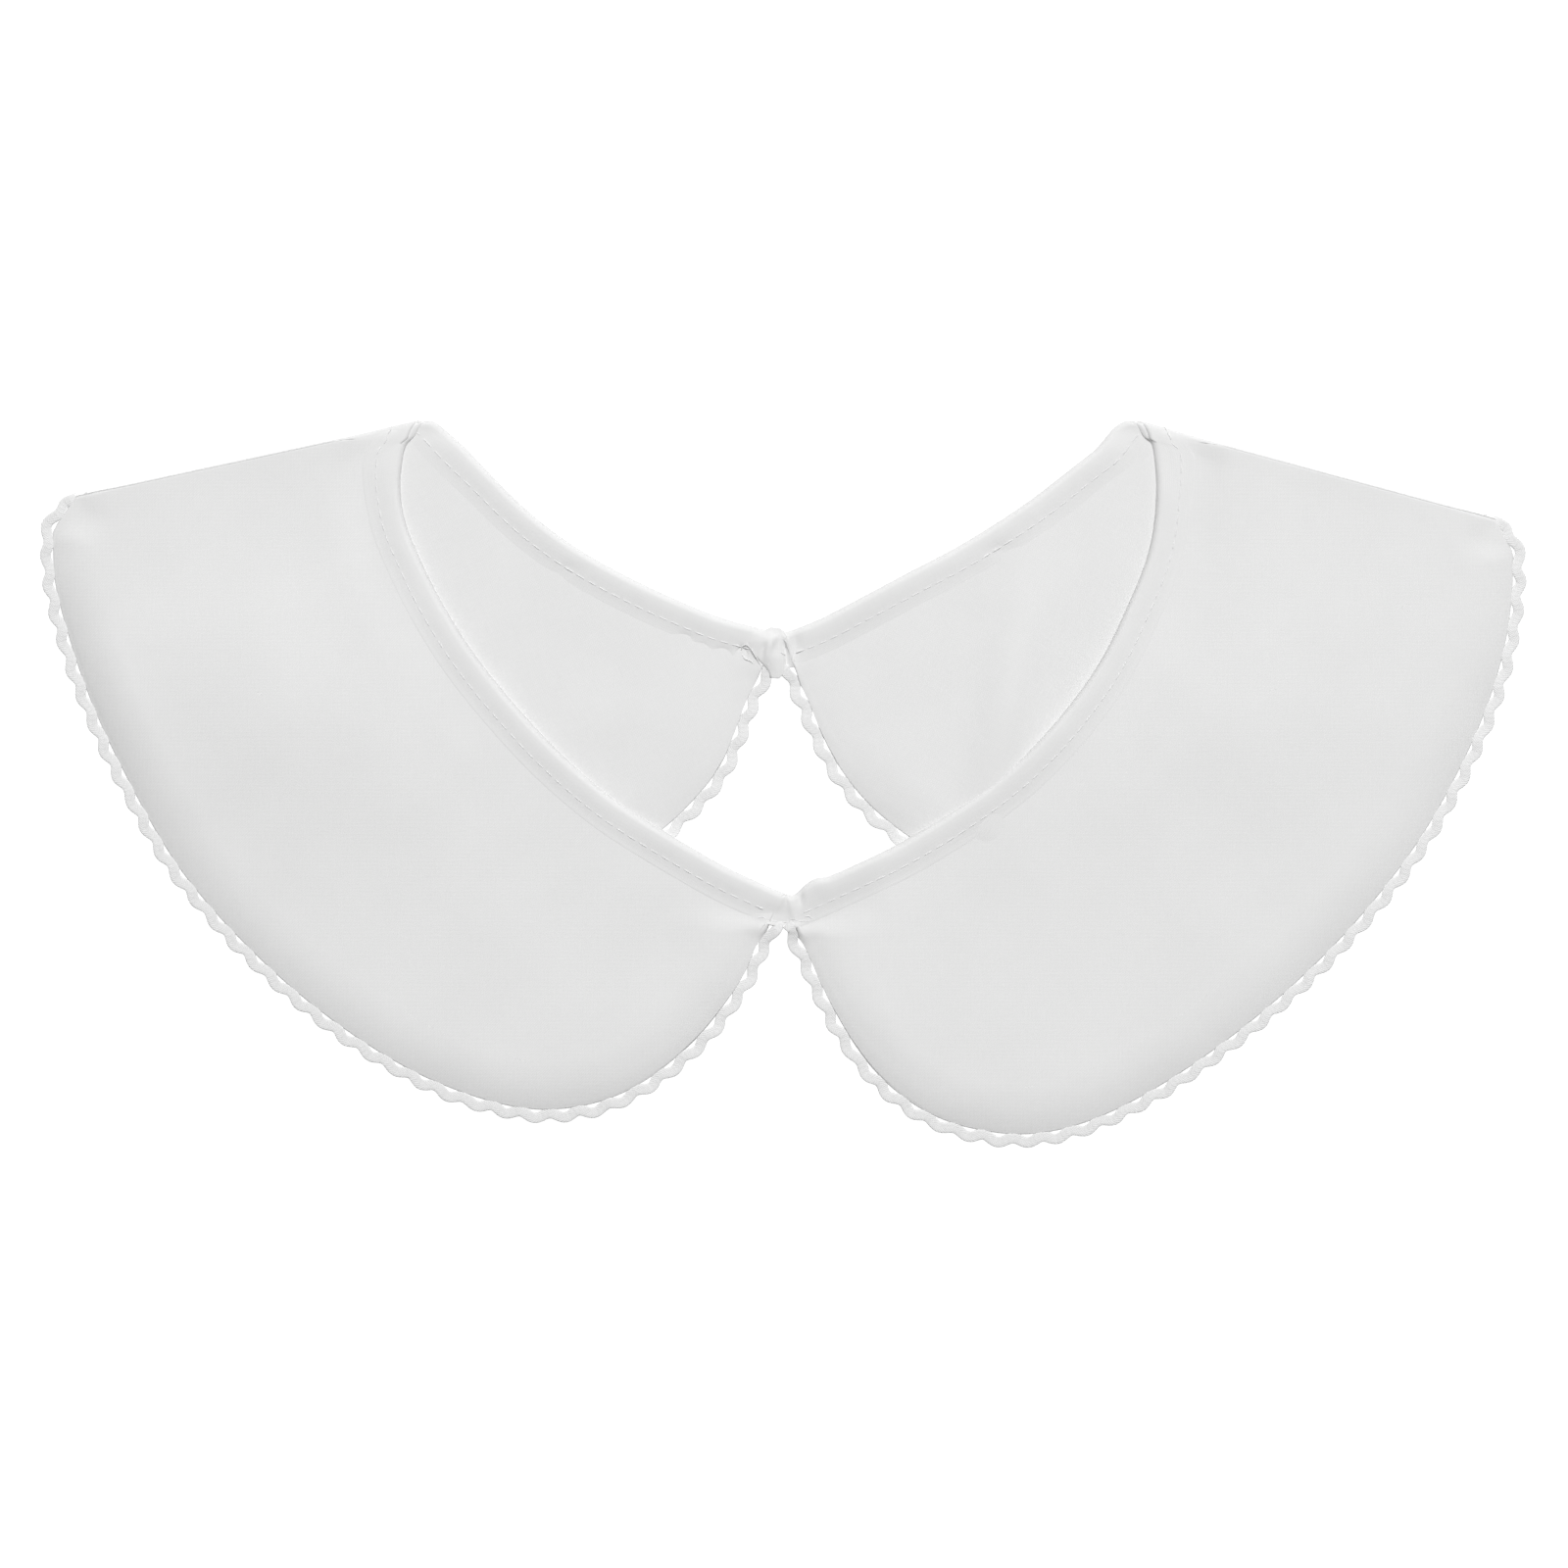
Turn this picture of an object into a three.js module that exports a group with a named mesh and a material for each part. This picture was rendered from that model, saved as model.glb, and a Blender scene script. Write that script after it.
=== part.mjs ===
// Detachable Peter Pan collar: two rounded cotton half-collars sewn into one bias neckline binding.
// It lies flat on a table, folded along both shoulder lines, with the front panels on top of the back ones.
// Millimetres. X runs to the viewer's right, Y from the front of the neck to the back, Z up from the table.
import * as THREE from 'three';

// Cloth and trim thicknesses
const panelWall = 1.2;
const bindingWall = 1.0;
const bindingClearance = 0.3;
const trimWall = 1.0;
const trimClearance = 0.3;

// Neckline: where the halves meet at front and back, and how far those joins lie below the shoulder points
const shoulderY = 74.3;
const frontDrop = 96.7;
const backDrop = 43.5;
const frontJoinX = 0.5;
const backJoinX = -0.8;
const joinGap = 0.6;
const bindingWidth = 7.0;
const noseShare = 0.45;

// Folded panels
const panelDepth = 75;
const layerClearance = 0.3;
const foldInset = 1.2;
const foldSteps = 6;
const riseWidth = 8;
const rimWidth = 10;
const rowSubdivisions = 2;

// Wavy edge trim
const wavePitch = 5.9;
const waveDepth = 0.5;
const waveBand = 1.8;
const trimStart = 0.5;

// Hook tab that closes the back
const tabWidth = 8.6;
const tabLength = 9.6;
const tabWall = 1.2;
const tabCorner = 1.6;
const tabShift = 3.4;
const tabRise = 1.2;

const panelHalf = panelWall / 2;
const bindingHalf = panelHalf + bindingClearance + bindingWall;
const foldRadius = bindingHalf + layerClearance;
const foldHeight = 2 * foldRadius;
const bodyRadius = panelHalf + 2 * layerClearance;
const edgeRadius = panelHalf + layerClearance;
const waveOffset = trimClearance + waveDepth + waveBand / 2;
const bindingNose = bindingClearance + bindingWall;
const bindingLeg = bindingWidth - bindingNose;
const leastCrossing = 0.78;

// Sections across a half-collar, from the neckline to the outer edge, in shares of the sizes above.
// across: from the join (0) to the shoulder point (1). down: from the shoulder (0) to the join (1).
// heading: degrees from straight outwards, turning down the table. depth: share of panelDepth.
// neckLift, bodyLift and edgeLift: height above the table rest, as shares of foldHeight.
const leftHalf = {
  name: 'left',
  side: -1,
  shoulderX: 73.7,
  shoulderSlope: 12.2,
  cornerDepth: 0.98,
  cornerFlare: 0.45,
  back: [
    { across: 0.0, down: 1.0, heading: 64.0, depth: 0.154 },
    { across: 0.043, down: 0.982, heading: 74.7, depth: 0.243 },
    { across: 0.084, down: 0.963, heading: 78.9, depth: 0.372 },
    { across: 0.136, down: 0.94, heading: 78.9, depth: 0.486 },
    { across: 0.199, down: 0.905, heading: 76.9, depth: 0.613 },
    { across: 0.273, down: 0.853, heading: 74.0, depth: 0.744 },
    { across: 0.364, down: 0.784, heading: 68.7, depth: 0.876 },
    { across: 0.479, down: 0.687, heading: 62.7, depth: 0.985 },
    { across: 0.594, down: 0.572, heading: 55.4, depth: 1.02 },
    { across: 0.704, down: 0.43, heading: 47.2, depth: 1.01 },
    { across: 0.8, down: 0.274, heading: 37.8, depth: 0.988 },
    { across: 0.882, down: 0.131, heading: 29.4, depth: 0.985 },
  ],
  front: [
    { across: 1.051, down: 0.055, heading: 13.5, depth: 0.982, neckLift: 0.95, bodyLift: 0.545, edgeLift: 0.39 },
    { across: 1.065, down: 0.127, heading: 15.9, depth: 0.976, neckLift: 0.64, bodyLift: 0.525, edgeLift: 0.24 },
    { across: 1.054, down: 0.205, heading: 19.6, depth: 0.967, neckLift: 0.43, bodyLift: 0.5, edgeLift: 0.08 },
    { across: 1.016, down: 0.282, heading: 25.4, depth: 0.975, neckLift: 0.37, bodyLift: 0.48, edgeLift: 0.0 },
    { across: 0.957, down: 0.375, heading: 30.8, depth: 0.98, neckLift: 0.36, bodyLift: 0.46, edgeLift: 0.0 },
    { across: 0.863, down: 0.491, heading: 36.0, depth: 0.99, neckLift: 0.36, bodyLift: 0.44, edgeLift: 0.0 },
    { across: 0.741, down: 0.607, heading: 40.8, depth: 0.98, neckLift: 0.36, bodyLift: 0.43, edgeLift: 0.0 },
    { across: 0.609, down: 0.713, heading: 46.5, depth: 0.956, neckLift: 0.36, bodyLift: 0.42, edgeLift: 0.0 },
    { across: 0.466, down: 0.804, heading: 53.5, depth: 0.918, neckLift: 0.36, bodyLift: 0.4, edgeLift: 0.0 },
    { across: 0.342, down: 0.865, heading: 60.7, depth: 0.858, neckLift: 0.36, bodyLift: 0.25, edgeLift: 0.0 },
    { across: 0.259, down: 0.903, heading: 64.4, depth: 0.784, neckLift: 0.29, bodyLift: 0.17, edgeLift: 0.0 },
    { across: 0.183, down: 0.936, heading: 67.0, depth: 0.678, neckLift: 0.17, bodyLift: 0.14, edgeLift: 0.0 },
    { across: 0.129, down: 0.957, heading: 71.0, depth: 0.53, neckLift: 0.06, bodyLift: 0.12, edgeLift: 0.0 },
    { across: 0.089, down: 0.971, heading: 75.0, depth: 0.373, neckLift: 0.0, bodyLift: 0.2, edgeLift: 0.0 },
    { across: 0.046, down: 0.986, heading: 75.0, depth: 0.22, neckLift: 0.0, bodyLift: 0.27, edgeLift: 0.08 },
    { across: 0.0, down: 1.0, heading: 61.0, depth: 0.126, neckLift: 0.0, bodyLift: 0.28, edgeLift: 0.28 },
  ],
};

const rightHalf = {
  name: 'right',
  side: 1,
  shoulderX: 71.5,
  shoulderSlope: 15.2,
  cornerDepth: 1.03,
  cornerFlare: 0.45,
  back: [
    { across: 0.0, down: 1.0, heading: 70.0, depth: 0.15 },
    { across: 0.04, down: 0.977, heading: 77.4, depth: 0.257 },
    { across: 0.082, down: 0.95, heading: 80.1, depth: 0.374 },
    { across: 0.137, down: 0.908, heading: 79.6, depth: 0.51 },
    { across: 0.203, down: 0.85, heading: 77.2, depth: 0.649 },
    { across: 0.278, down: 0.784, heading: 73.9, depth: 0.782 },
    { across: 0.369, down: 0.704, heading: 68.7, depth: 0.916 },
    { across: 0.48, down: 0.609, heading: 62.2, depth: 1.01 },
    { across: 0.591, down: 0.499, heading: 55.0, depth: 1.045 },
    { across: 0.696, down: 0.384, heading: 46.1, depth: 1.039 },
    { across: 0.798, down: 0.255, heading: 37.0, depth: 1.025 },
    { across: 0.889, down: 0.136, heading: 28.4, depth: 1.021 },
  ],
  front: [
    { across: 1.051, down: 0.049, heading: 16.8, depth: 1.022, neckLift: 0.95, bodyLift: 0.545, edgeLift: 0.39 },
    { across: 1.062, down: 0.117, heading: 17.4, depth: 1.015, neckLift: 0.64, bodyLift: 0.525, edgeLift: 0.24 },
    { across: 1.059, down: 0.2, heading: 19.4, depth: 1.012, neckLift: 0.43, bodyLift: 0.5, edgeLift: 0.08 },
    { across: 1.036, down: 0.289, heading: 22.5, depth: 1.008, neckLift: 0.37, bodyLift: 0.48, edgeLift: 0.0 },
    { across: 0.98, down: 0.392, heading: 26.1, depth: 1.005, neckLift: 0.36, bodyLift: 0.46, edgeLift: 0.0 },
    { across: 0.899, down: 0.512, heading: 30.0, depth: 0.992, neckLift: 0.36, bodyLift: 0.44, edgeLift: 0.0 },
    { across: 0.784, down: 0.628, heading: 35.7, depth: 0.975, neckLift: 0.36, bodyLift: 0.43, edgeLift: 0.0 },
    { across: 0.651, down: 0.729, heading: 42.6, depth: 0.955, neckLift: 0.36, bodyLift: 0.42, edgeLift: 0.0 },
    { across: 0.507, down: 0.81, heading: 50.2, depth: 0.94, neckLift: 0.36, bodyLift: 0.4, edgeLift: 0.0 },
    { across: 0.386, down: 0.866, heading: 57.4, depth: 0.918, neckLift: 0.36, bodyLift: 0.4, edgeLift: 0.0 },
    { across: 0.304, down: 0.9, heading: 63.0, depth: 0.874, neckLift: 0.36, bodyLift: 0.28, edgeLift: 0.0 },
    { across: 0.237, down: 0.924, heading: 67.6, depth: 0.801, neckLift: 0.29, bodyLift: 0.19, edgeLift: 0.0 },
    { across: 0.177, down: 0.944, heading: 72.4, depth: 0.698, neckLift: 0.17, bodyLift: 0.15, edgeLift: 0.0 },
    { across: 0.124, down: 0.962, heading: 77.4, depth: 0.543, neckLift: 0.06, bodyLift: 0.12, edgeLift: 0.0 },
    { across: 0.078, down: 0.977, heading: 80.6, depth: 0.364, neckLift: 0.0, bodyLift: 0.2, edgeLift: 0.0 },
    { across: 0.042, down: 0.989, heading: 81.5, depth: 0.22, neckLift: 0.0, bodyLift: 0.27, edgeLift: 0.08 },
    { across: 0.0, down: 1.0, heading: 76.0, depth: 0.12, neckLift: 0.0, bodyLift: 0.28, edgeLift: 0.28 },
  ],
};

const halfTurn = 180;
const degrees = Math.PI / halfTurn;

// Rows with smooth rows put in between them, column by column
function smoothRows(rows) {
  const smooth = [];
  for (let i = 0; i < rows.length - 1; i += 1) {
    const before = rows[Math.max(i - 1, 0)];
    const after = rows[Math.min(i + 2, rows.length - 1)];
    for (let step = 0; step < rowSubdivisions; step += 1) {
      const t = step / rowSubdivisions;
      const row = {};
      for (const column of Object.keys(rows[i])) {
        row[column] = catmullRom(before[column], rows[i][column], rows[i + 1][column], after[column], t);
      }
      smooth.push(row);
    }
  }
  smooth.push(rows[rows.length - 1]);
  return smooth;
}

function catmullRom(p0, p1, p2, p3, t) {
  const slopeIn = (p2 - p0) / 2;
  const slopeOut = (p3 - p1) / 2;
  const t2 = t * t;
  const t3 = t2 * t;
  return (2 * t3 - 3 * t2 + 1) * p1 + (t3 - 2 * t2 + t) * slopeIn + (3 * t2 - 2 * t3) * p2 + (t3 - t2) * slopeOut;
}

// The flat directions of one shoulder fold: along it outwards, and square to it towards the front
function foldFrame(half) {
  const slope = half.shoulderSlope * degrees;
  return {
    apex: new THREE.Vector3(half.side * half.shoulderX, shoulderY, 0),
    outward: new THREE.Vector3(half.side * Math.cos(slope), -Math.sin(slope), 0),
    square: new THREE.Vector3(-half.side * Math.sin(slope), -Math.cos(slope), 0),
  };
}

// A section that lies flat in one of the two layers
function layerSection(half, row, layer) {
  const joinX = layer.joinX + half.side * joinGap / 2;
  const shoulderX = half.side * half.shoulderX;
  const heading = row.heading * degrees;
  return {
    neck: new THREE.Vector3(joinX + (shoulderX - joinX) * row.across, shoulderY - layer.drop * row.down, 0),
    direction: new THREE.Vector3(half.side * Math.cos(heading), -Math.sin(heading), 0),
    depth: panelDepth * row.depth,
    normal: new THREE.Vector3(0, 0, layer.facing),
    neckHeight: bindingHalf + foldHeight * Math.max(row.neckLift ?? 0, 0),
    bodyHeight: panelHalf + foldHeight * Math.max(row.bodyLift ?? 0, 0),
    edgeHeight: panelHalf + foldHeight * Math.max(row.edgeLift ?? 0, 0),
  };
}

// A section along the shoulder fold, turned from the back layer (0) to the front one (halfTurn).
// The fold is round the thick binding at the neck and narrows to the bare cloth at the outer corner.
function foldSection(half, turn) {
  const frame = foldFrame(half);
  const run = (foldInset + foldRadius) * (2 * turn / halfTurn - 1);
  const angle = turn * degrees;
  const lift = (radius) => radius * (1 - Math.cos(angle));
  const setback = (radius) => radius * (1 - Math.sin(angle));
  const neck = frame.apex.clone()
    .addScaledVector(frame.outward, run)
    .addScaledVector(frame.square, foldInset + setback(foldRadius));
  const depth = panelDepth * half.cornerDepth + (half.cornerFlare - 1) * run;
  return {
    neck,
    direction: frame.outward.clone().multiplyScalar(depth)
      .addScaledVector(frame.square, setback(edgeRadius) - setback(foldRadius))
      .normalize(),
    depth,
    normal: frame.square.clone().multiplyScalar(-Math.sin(angle)).setZ(-Math.cos(angle)),
    neckHeight: bindingHalf + lift(foldRadius),
    bodyHeight: panelHalf + lift(bodyRadius),
    edgeHeight: panelHalf + lift(edgeRadius),
  };
}

// All sections of a half, from the back join round the shoulder fold to the front join
function halfSections(half) {
  const backLayer = { joinX: backJoinX, drop: backDrop, facing: -1 };
  const frontLayer = { joinX: frontJoinX, drop: frontDrop, facing: 1 };
  const sections = smoothRows(half.back).map((row) => layerSection(half, row, backLayer));
  for (let step = 0; step <= foldSteps; step += 1) {
    sections.push(foldSection(half, halfTurn * step / foldSteps));
  }
  for (const row of smoothRows(half.front)) {
    sections.push(layerSection(half, row, frontLayer));
  }
  sections.forEach((section, i) => {
    const previous = sections[Math.max(i - 1, 0)].neck;
    const next = sections[Math.min(i + 1, sections.length - 1)].neck;
    const along = next.clone().sub(previous).normalize();
    const crossing = along.cross(section.direction).length();
    section.rawSlant = 1 / Math.max(crossing, leastCrossing);
  });
  sections.forEach((section, i) => {
    const around = sections.slice(Math.max(i - 2, 0), i + 3);
    section.slant = around.reduce((sum, other) => sum + other.rawSlant, 0) / around.length;
  });
  for (const section of sections) {
    const inset = bindingNose * section.slant;
    section.neck.addScaledVector(section.direction, inset);
    section.depth -= inset;
    section.stations = sectionStations(section);
  }
  return sections;
}

// Middle of the cloth along one section: flat in the binding, a rise to the body and a rim that rolls down
function sectionStations(section) {
  const depth = section.depth;
  const bound = Math.min(bindingLeg * section.slant, depth * 0.6);
  const risen = bound + Math.min(riseWidth, depth * 0.15);
  const rim = depth - Math.min(rimWidth, depth * 0.2);
  const { neckHeight, bodyHeight, edgeHeight } = section;
  const heights = [
    [0, neckHeight],
    [bound, neckHeight],
    [risen, THREE.MathUtils.lerp(neckHeight, bodyHeight, 0.85)],
    [(risen + rim) / 2, bodyHeight],
    [rim, THREE.MathUtils.lerp(bodyHeight, edgeHeight, 0.3)],
    [THREE.MathUtils.lerp(rim, depth, 0.6), THREE.MathUtils.lerp(bodyHeight, edgeHeight, 0.6)],
    [depth, edgeHeight],
  ];
  return heights.map(([run, height]) => ({
    run,
    point: section.neck.clone().addScaledVector(section.direction, run).setZ(height),
  }));
}

// A closed body between two facing rows of points, repeated at each section and capped at both ends
function loftedGeometry(sectionRows) {
  const rings = sectionRows.map(([face, back]) => [...face, ...back.toReversed()]);
  const count = rings[0].length;
  const positions = rings.flat().flatMap((point) => [point.x, point.y, point.z]);
  const triangles = [];
  for (let ring = 0; ring < rings.length - 1; ring += 1) {
    for (let k = 0; k < count; k += 1) {
      const a = ring * count + k;
      const b = ring * count + (k + 1) % count;
      triangles.push([a, b, a + count], [b, b + count, a + count]);
    }
  }
  const last = (rings.length - 1) * count;
  for (let k = 0; k < count / 2 - 1; k += 1) {
    const opposite = count - 1 - k;
    triangles.push([k, opposite, k + 1], [k + 1, opposite, opposite - 1]);
    triangles.push([last + k, last + k + 1, last + opposite]);
    triangles.push([last + k + 1, last + opposite - 1, last + opposite]);
  }
  if (signedVolume(positions, triangles) < 0) {
    triangles.forEach((triangle) => triangle.reverse());
  }
  const geometry = new THREE.BufferGeometry();
  geometry.setAttribute('position', new THREE.Float32BufferAttribute(positions, 3));
  geometry.setIndex(triangles.flat());
  geometry.computeVertexNormals();
  return geometry;
}

function signedVolume(positions, triangles) {
  const corner = (index) => new THREE.Vector3().fromArray(positions, 3 * index);
  return triangles.reduce((sum, [a, b, c]) => sum + corner(a).dot(corner(b).cross(corner(c))) / 6, 0);
}

function clothMaterial(color, roughness) {
  return new THREE.MeshStandardMaterial({ color, roughness, metalness: 0, side: THREE.FrontSide });
}

// One half-collar: the folded cloth wall
function panel(half, sections) {
  const offsetRow = (section, offset) => section.stations
    .map(({ point }) => point.clone().addScaledVector(section.normal, offset));
  const rows = sections.map((section) => [offsetRow(section, panelHalf), offsetRow(section, -panelHalf)]);
  const mesh = new THREE.Mesh(loftedGeometry(rows), clothMaterial(0xf1f1f0, 0.9));
  mesh.name = `${half.name}_panel`;
  return mesh;
}

// The bias binding: a channel folded over the neck edge of both halves
function binding(leftSections, rightSections) {
  const channelRow = (reach, halfHeight) => [
    [bindingLeg, halfHeight],
    [0, halfHeight],
    [-reach, noseShare * halfHeight],
    [-reach, -noseShare * halfHeight],
    [0, -halfHeight],
    [bindingLeg, -halfHeight],
  ];
  const outerRow = channelRow(bindingNose, bindingHalf);
  const innerRow = channelRow(bindingClearance, panelHalf + bindingClearance);
  const frontEnds = [leftSections.at(-1), rightSections.at(-1)];
  const frontMiddle = {
    neck: frontEnds[0].neck.clone().add(frontEnds[1].neck).multiplyScalar(0.5),
    direction: new THREE.Vector3(0, -1, 0),
    normal: new THREE.Vector3(0, 0, 1),
    neckHeight: bindingHalf,
    slant: 1,
  };
  const placeRow = (section, row) => row.map(([run, height]) => section.neck.clone()
    .setZ(section.neckHeight)
    .addScaledVector(section.direction, run * section.slant)
    .addScaledVector(section.normal, height));
  const path = [...leftSections, frontMiddle, ...rightSections.toReversed()];
  const rows = path.map((section) => [placeRow(section, outerRow), placeRow(section, innerRow)]);
  const mesh = new THREE.Mesh(loftedGeometry(rows), clothMaterial(0xf4f4f3, 0.85));
  mesh.name = 'neckline_binding';
  return mesh;
}

// A point of the cloth's middle at any run along a section
function clothPoint(section, run) {
  const stations = section.stations;
  const next = Math.min(Math.max(stations.findIndex((station) => station.run >= run), 1), stations.length - 1);
  const before = stations[next - 1];
  const after = stations[next];
  return before.point.clone().lerp(after.point, (run - before.run) / (after.run - before.run));
}

// The sewn edge of a half, from the binding at the back join to the binding at the front join
function sewnEdge(half, sections) {
  const endRuns = (section) => [bindingLeg * section.slant + trimStart, section.depth];
  const edge = [
    ...endRuns(sections[0]).map((run) => ({ section: sections[0], point: clothPoint(sections[0], run) })),
    ...sections.slice(1, -1).map((section) => ({ section, point: section.stations.at(-1).point })),
    ...endRuns(sections.at(-1)).reverse()
      .map((run) => ({ section: sections.at(-1), point: clothPoint(sections.at(-1), run) })),
  ];
  edge.forEach((place, i) => {
    const previous = edge[Math.max(i - 1, 0)].point;
    const next = edge[Math.min(i + 1, edge.length - 1)].point;
    place.normal = place.section.normal;
    place.inward = next.clone().sub(previous).cross(place.normal).setZ(0).normalize().multiplyScalar(half.side);
    place.along = i === 0 ? 0 : edge[i - 1].along + place.point.distanceTo(previous);
  });
  return edge;
}

// The wavy braid along the edge of a half, level with its seam: every second bend comes up to the cloth
function waveTrim(half, sections) {
  const edge = sewnEdge(half, sections);
  const length = edge.at(-1).along;
  const bends = 2 * Math.round(length / wavePitch);
  const rows = [];
  let next = 1;
  for (let station = 0; station <= 2 * bends; station += 1) {
    const along = length * station / (2 * bends);
    while (next < edge.length - 1 && edge[next].along < along) {
      next += 1;
    }
    const [before, after] = [edge[next - 1], edge[next]];
    const share = (along - before.along) / (after.along - before.along);
    const point = before.point.clone().lerp(after.point, share);
    const inward = before.inward.clone().lerp(after.inward, share).normalize();
    const normal = before.normal.clone().lerp(after.normal, share).normalize();
    const swing = Math.floor(station / 2) % 2 === 0 ? -waveDepth : waveDepth;
    const corner = (width, height) => point.clone()
      .addScaledVector(inward, -(waveOffset + swing + width))
      .addScaledVector(normal, height);
    const heights = [trimWall / 2, -trimWall / 2];
    rows.push(heights.map((height) => [corner(-waveBand / 2, height), corner(waveBand / 2, height)]));
  }
  const mesh = new THREE.Mesh(loftedGeometry(rows), clothMaterial(0xf6f6f5, 0.7));
  mesh.name = `${half.name}_wave_trim`;
  return mesh;
}

// The small tab over the back join, which hides the hook inside it
function hookTab() {
  const outline = new THREE.Shape();
  const reach = { x: tabWidth / 2 - tabCorner, y: tabLength / 2 - tabCorner };
  outline.absarc(reach.x, reach.y, tabCorner, 0, Math.PI / 2);
  outline.absarc(-reach.x, reach.y, tabCorner, Math.PI / 2, Math.PI);
  outline.absarc(-reach.x, -reach.y, tabCorner, Math.PI, 1.5 * Math.PI);
  outline.absarc(reach.x, -reach.y, tabCorner, 1.5 * Math.PI, 2 * Math.PI);
  const geometry = new THREE.ExtrudeGeometry(outline, { depth: tabWall, bevelEnabled: false, curveSegments: 4 });
  const mesh = new THREE.Mesh(geometry, clothMaterial(0xf2f2f1, 0.85));
  mesh.name = 'back_hook_tab';
  const tabY = shoulderY - backDrop - tabLength / 2 + tabRise;
  mesh.position.set(backJoinX - tabShift, tabY, 2 * bindingHalf + bindingClearance);
  return mesh;
}

const leftSections = halfSections(leftHalf);
const rightSections = halfSections(rightHalf);

const collar = new THREE.Group();
collar.name = 'detachable_collar';
collar.add(panel(leftHalf, leftSections), panel(rightHalf, rightSections));
collar.add(binding(leftSections, rightSections));
collar.add(waveTrim(leftHalf, leftSections), waveTrim(rightHalf, rightSections));
collar.add(hookTab());

// The origin is the middle of the footprint, on the table
const footprint = new THREE.Box3().setFromObject(collar).getCenter(new THREE.Vector3());
collar.position.set(-footprint.x, -footprint.y, 0);

export default collar;
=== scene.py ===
"""The looks of a detachable cotton collar, folded at the shoulders and lying on a table.

Lengths are in millimetres until a mesh is made. The halves are the same surfaces as in the CAD source.
"""

import math
import random

import bpy
import numpy as np
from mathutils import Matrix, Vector
from mathutils.bvhtree import BVHTree


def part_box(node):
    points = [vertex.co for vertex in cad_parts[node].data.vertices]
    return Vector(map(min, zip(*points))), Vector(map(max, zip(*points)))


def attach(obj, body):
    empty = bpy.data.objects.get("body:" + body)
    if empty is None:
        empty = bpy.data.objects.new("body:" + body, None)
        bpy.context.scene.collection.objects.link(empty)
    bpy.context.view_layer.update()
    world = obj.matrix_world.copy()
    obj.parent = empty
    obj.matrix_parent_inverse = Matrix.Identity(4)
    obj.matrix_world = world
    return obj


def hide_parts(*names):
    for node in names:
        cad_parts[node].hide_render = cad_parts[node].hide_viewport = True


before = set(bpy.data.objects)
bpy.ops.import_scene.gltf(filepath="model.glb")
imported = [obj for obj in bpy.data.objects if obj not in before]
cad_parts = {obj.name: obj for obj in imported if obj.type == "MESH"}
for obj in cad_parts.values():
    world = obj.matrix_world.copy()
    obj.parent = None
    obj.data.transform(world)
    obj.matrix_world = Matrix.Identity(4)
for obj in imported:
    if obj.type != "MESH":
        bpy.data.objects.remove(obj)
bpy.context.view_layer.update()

MM = 0.001

# Neckline: the shoulder line, how far the joins lie below it, and where they are
SHOULDER_Y, FRONT_DROP, BACK_DROP = 74.3, 96.7, 43.5
FRONT_JOIN_X, BACK_JOIN_X, JOIN_GAP = 0.5, -0.8, 0.6
# Panel depth, and how far inside the shoulder line the neckline and the cloth begin
PANEL_DEPTH, FOLD_INSET, CLOTH_INSET = 75.0, 0.1, 0.35
# The pressed fold: half its height, and how far it sets the neckline and the cloth back
NECK_RISE, BODY_RISE, EDGE_RISE = 0.45, 1.15, 0.75
NECK_SETBACK, CLOTH_SETBACK, SETBACK_REACH, NECK_ADVANCE = 2.6, 0.45, 16.0, 0.8
FOLD_STEPS, FOLD_SPREAD, FOLD_MARGIN = 12, 1.1, 4.0
# Heights at which the lower layer rests, and heights that the tables' shares are of
CLOTH_REST, BINDING_REST = 0.6, 0.9
NECK_LIFT, CLOTH_LIFT = 2.4, 3.2
# How the cloth rises behind the binding, swells outwards and rolls down to its edge
RISE_WIDTH, RISE_SHARE, CROWN, BODY_SWELL = 9.0, 0.15, 0.3, 0.7
RIM_WIDTH, ROLL_LEAD, ROLL_REACH = 9.5, 1.0, 5.0
# The binding's width and nose, the most of the depth it takes, and its least crossing with the neckline
BINDING_WIDTH, BINDING_NOSE, BOUND_SHARE, LEAST_CROSSING = 7.0, 1.3, 0.6, 0.66
BINDING_LEG = BINDING_WIDTH - BINDING_NOSE
TAB_SHIFT, TAB_LENGTH, TAB_RISE = 3.4, 9.6, 1.2
# Points of an edge line along the neckline and down the side at a join
EDGE_SAMPLES, SIDE_SAMPLES = 150, 8
# The least height of any point above the table
LOWEST = 0.02

# One pixel of the photograph in millimetres, and the pixel over the model's origin
PHOTO_PIXEL, PHOTO_MIDDLE_X, PHOTO_MIDDLE_Y = 0.2, 800.5, 800

# Cloth thickness, from the middle of the cloth to one face
BODY_HALF, SEAM_HALF, SEAM_ALLOWANCE = 0.36, 0.42, 6.0

# Wavy braid
WAVE_PITCH, WAVE_DEPTH, WAVE_OFFSET = 5.9, 0.5, 1.5
BRAID_HALF_WIDTH, BRAID_HALF_HEIGHT = 1.1, 0.32

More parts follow.
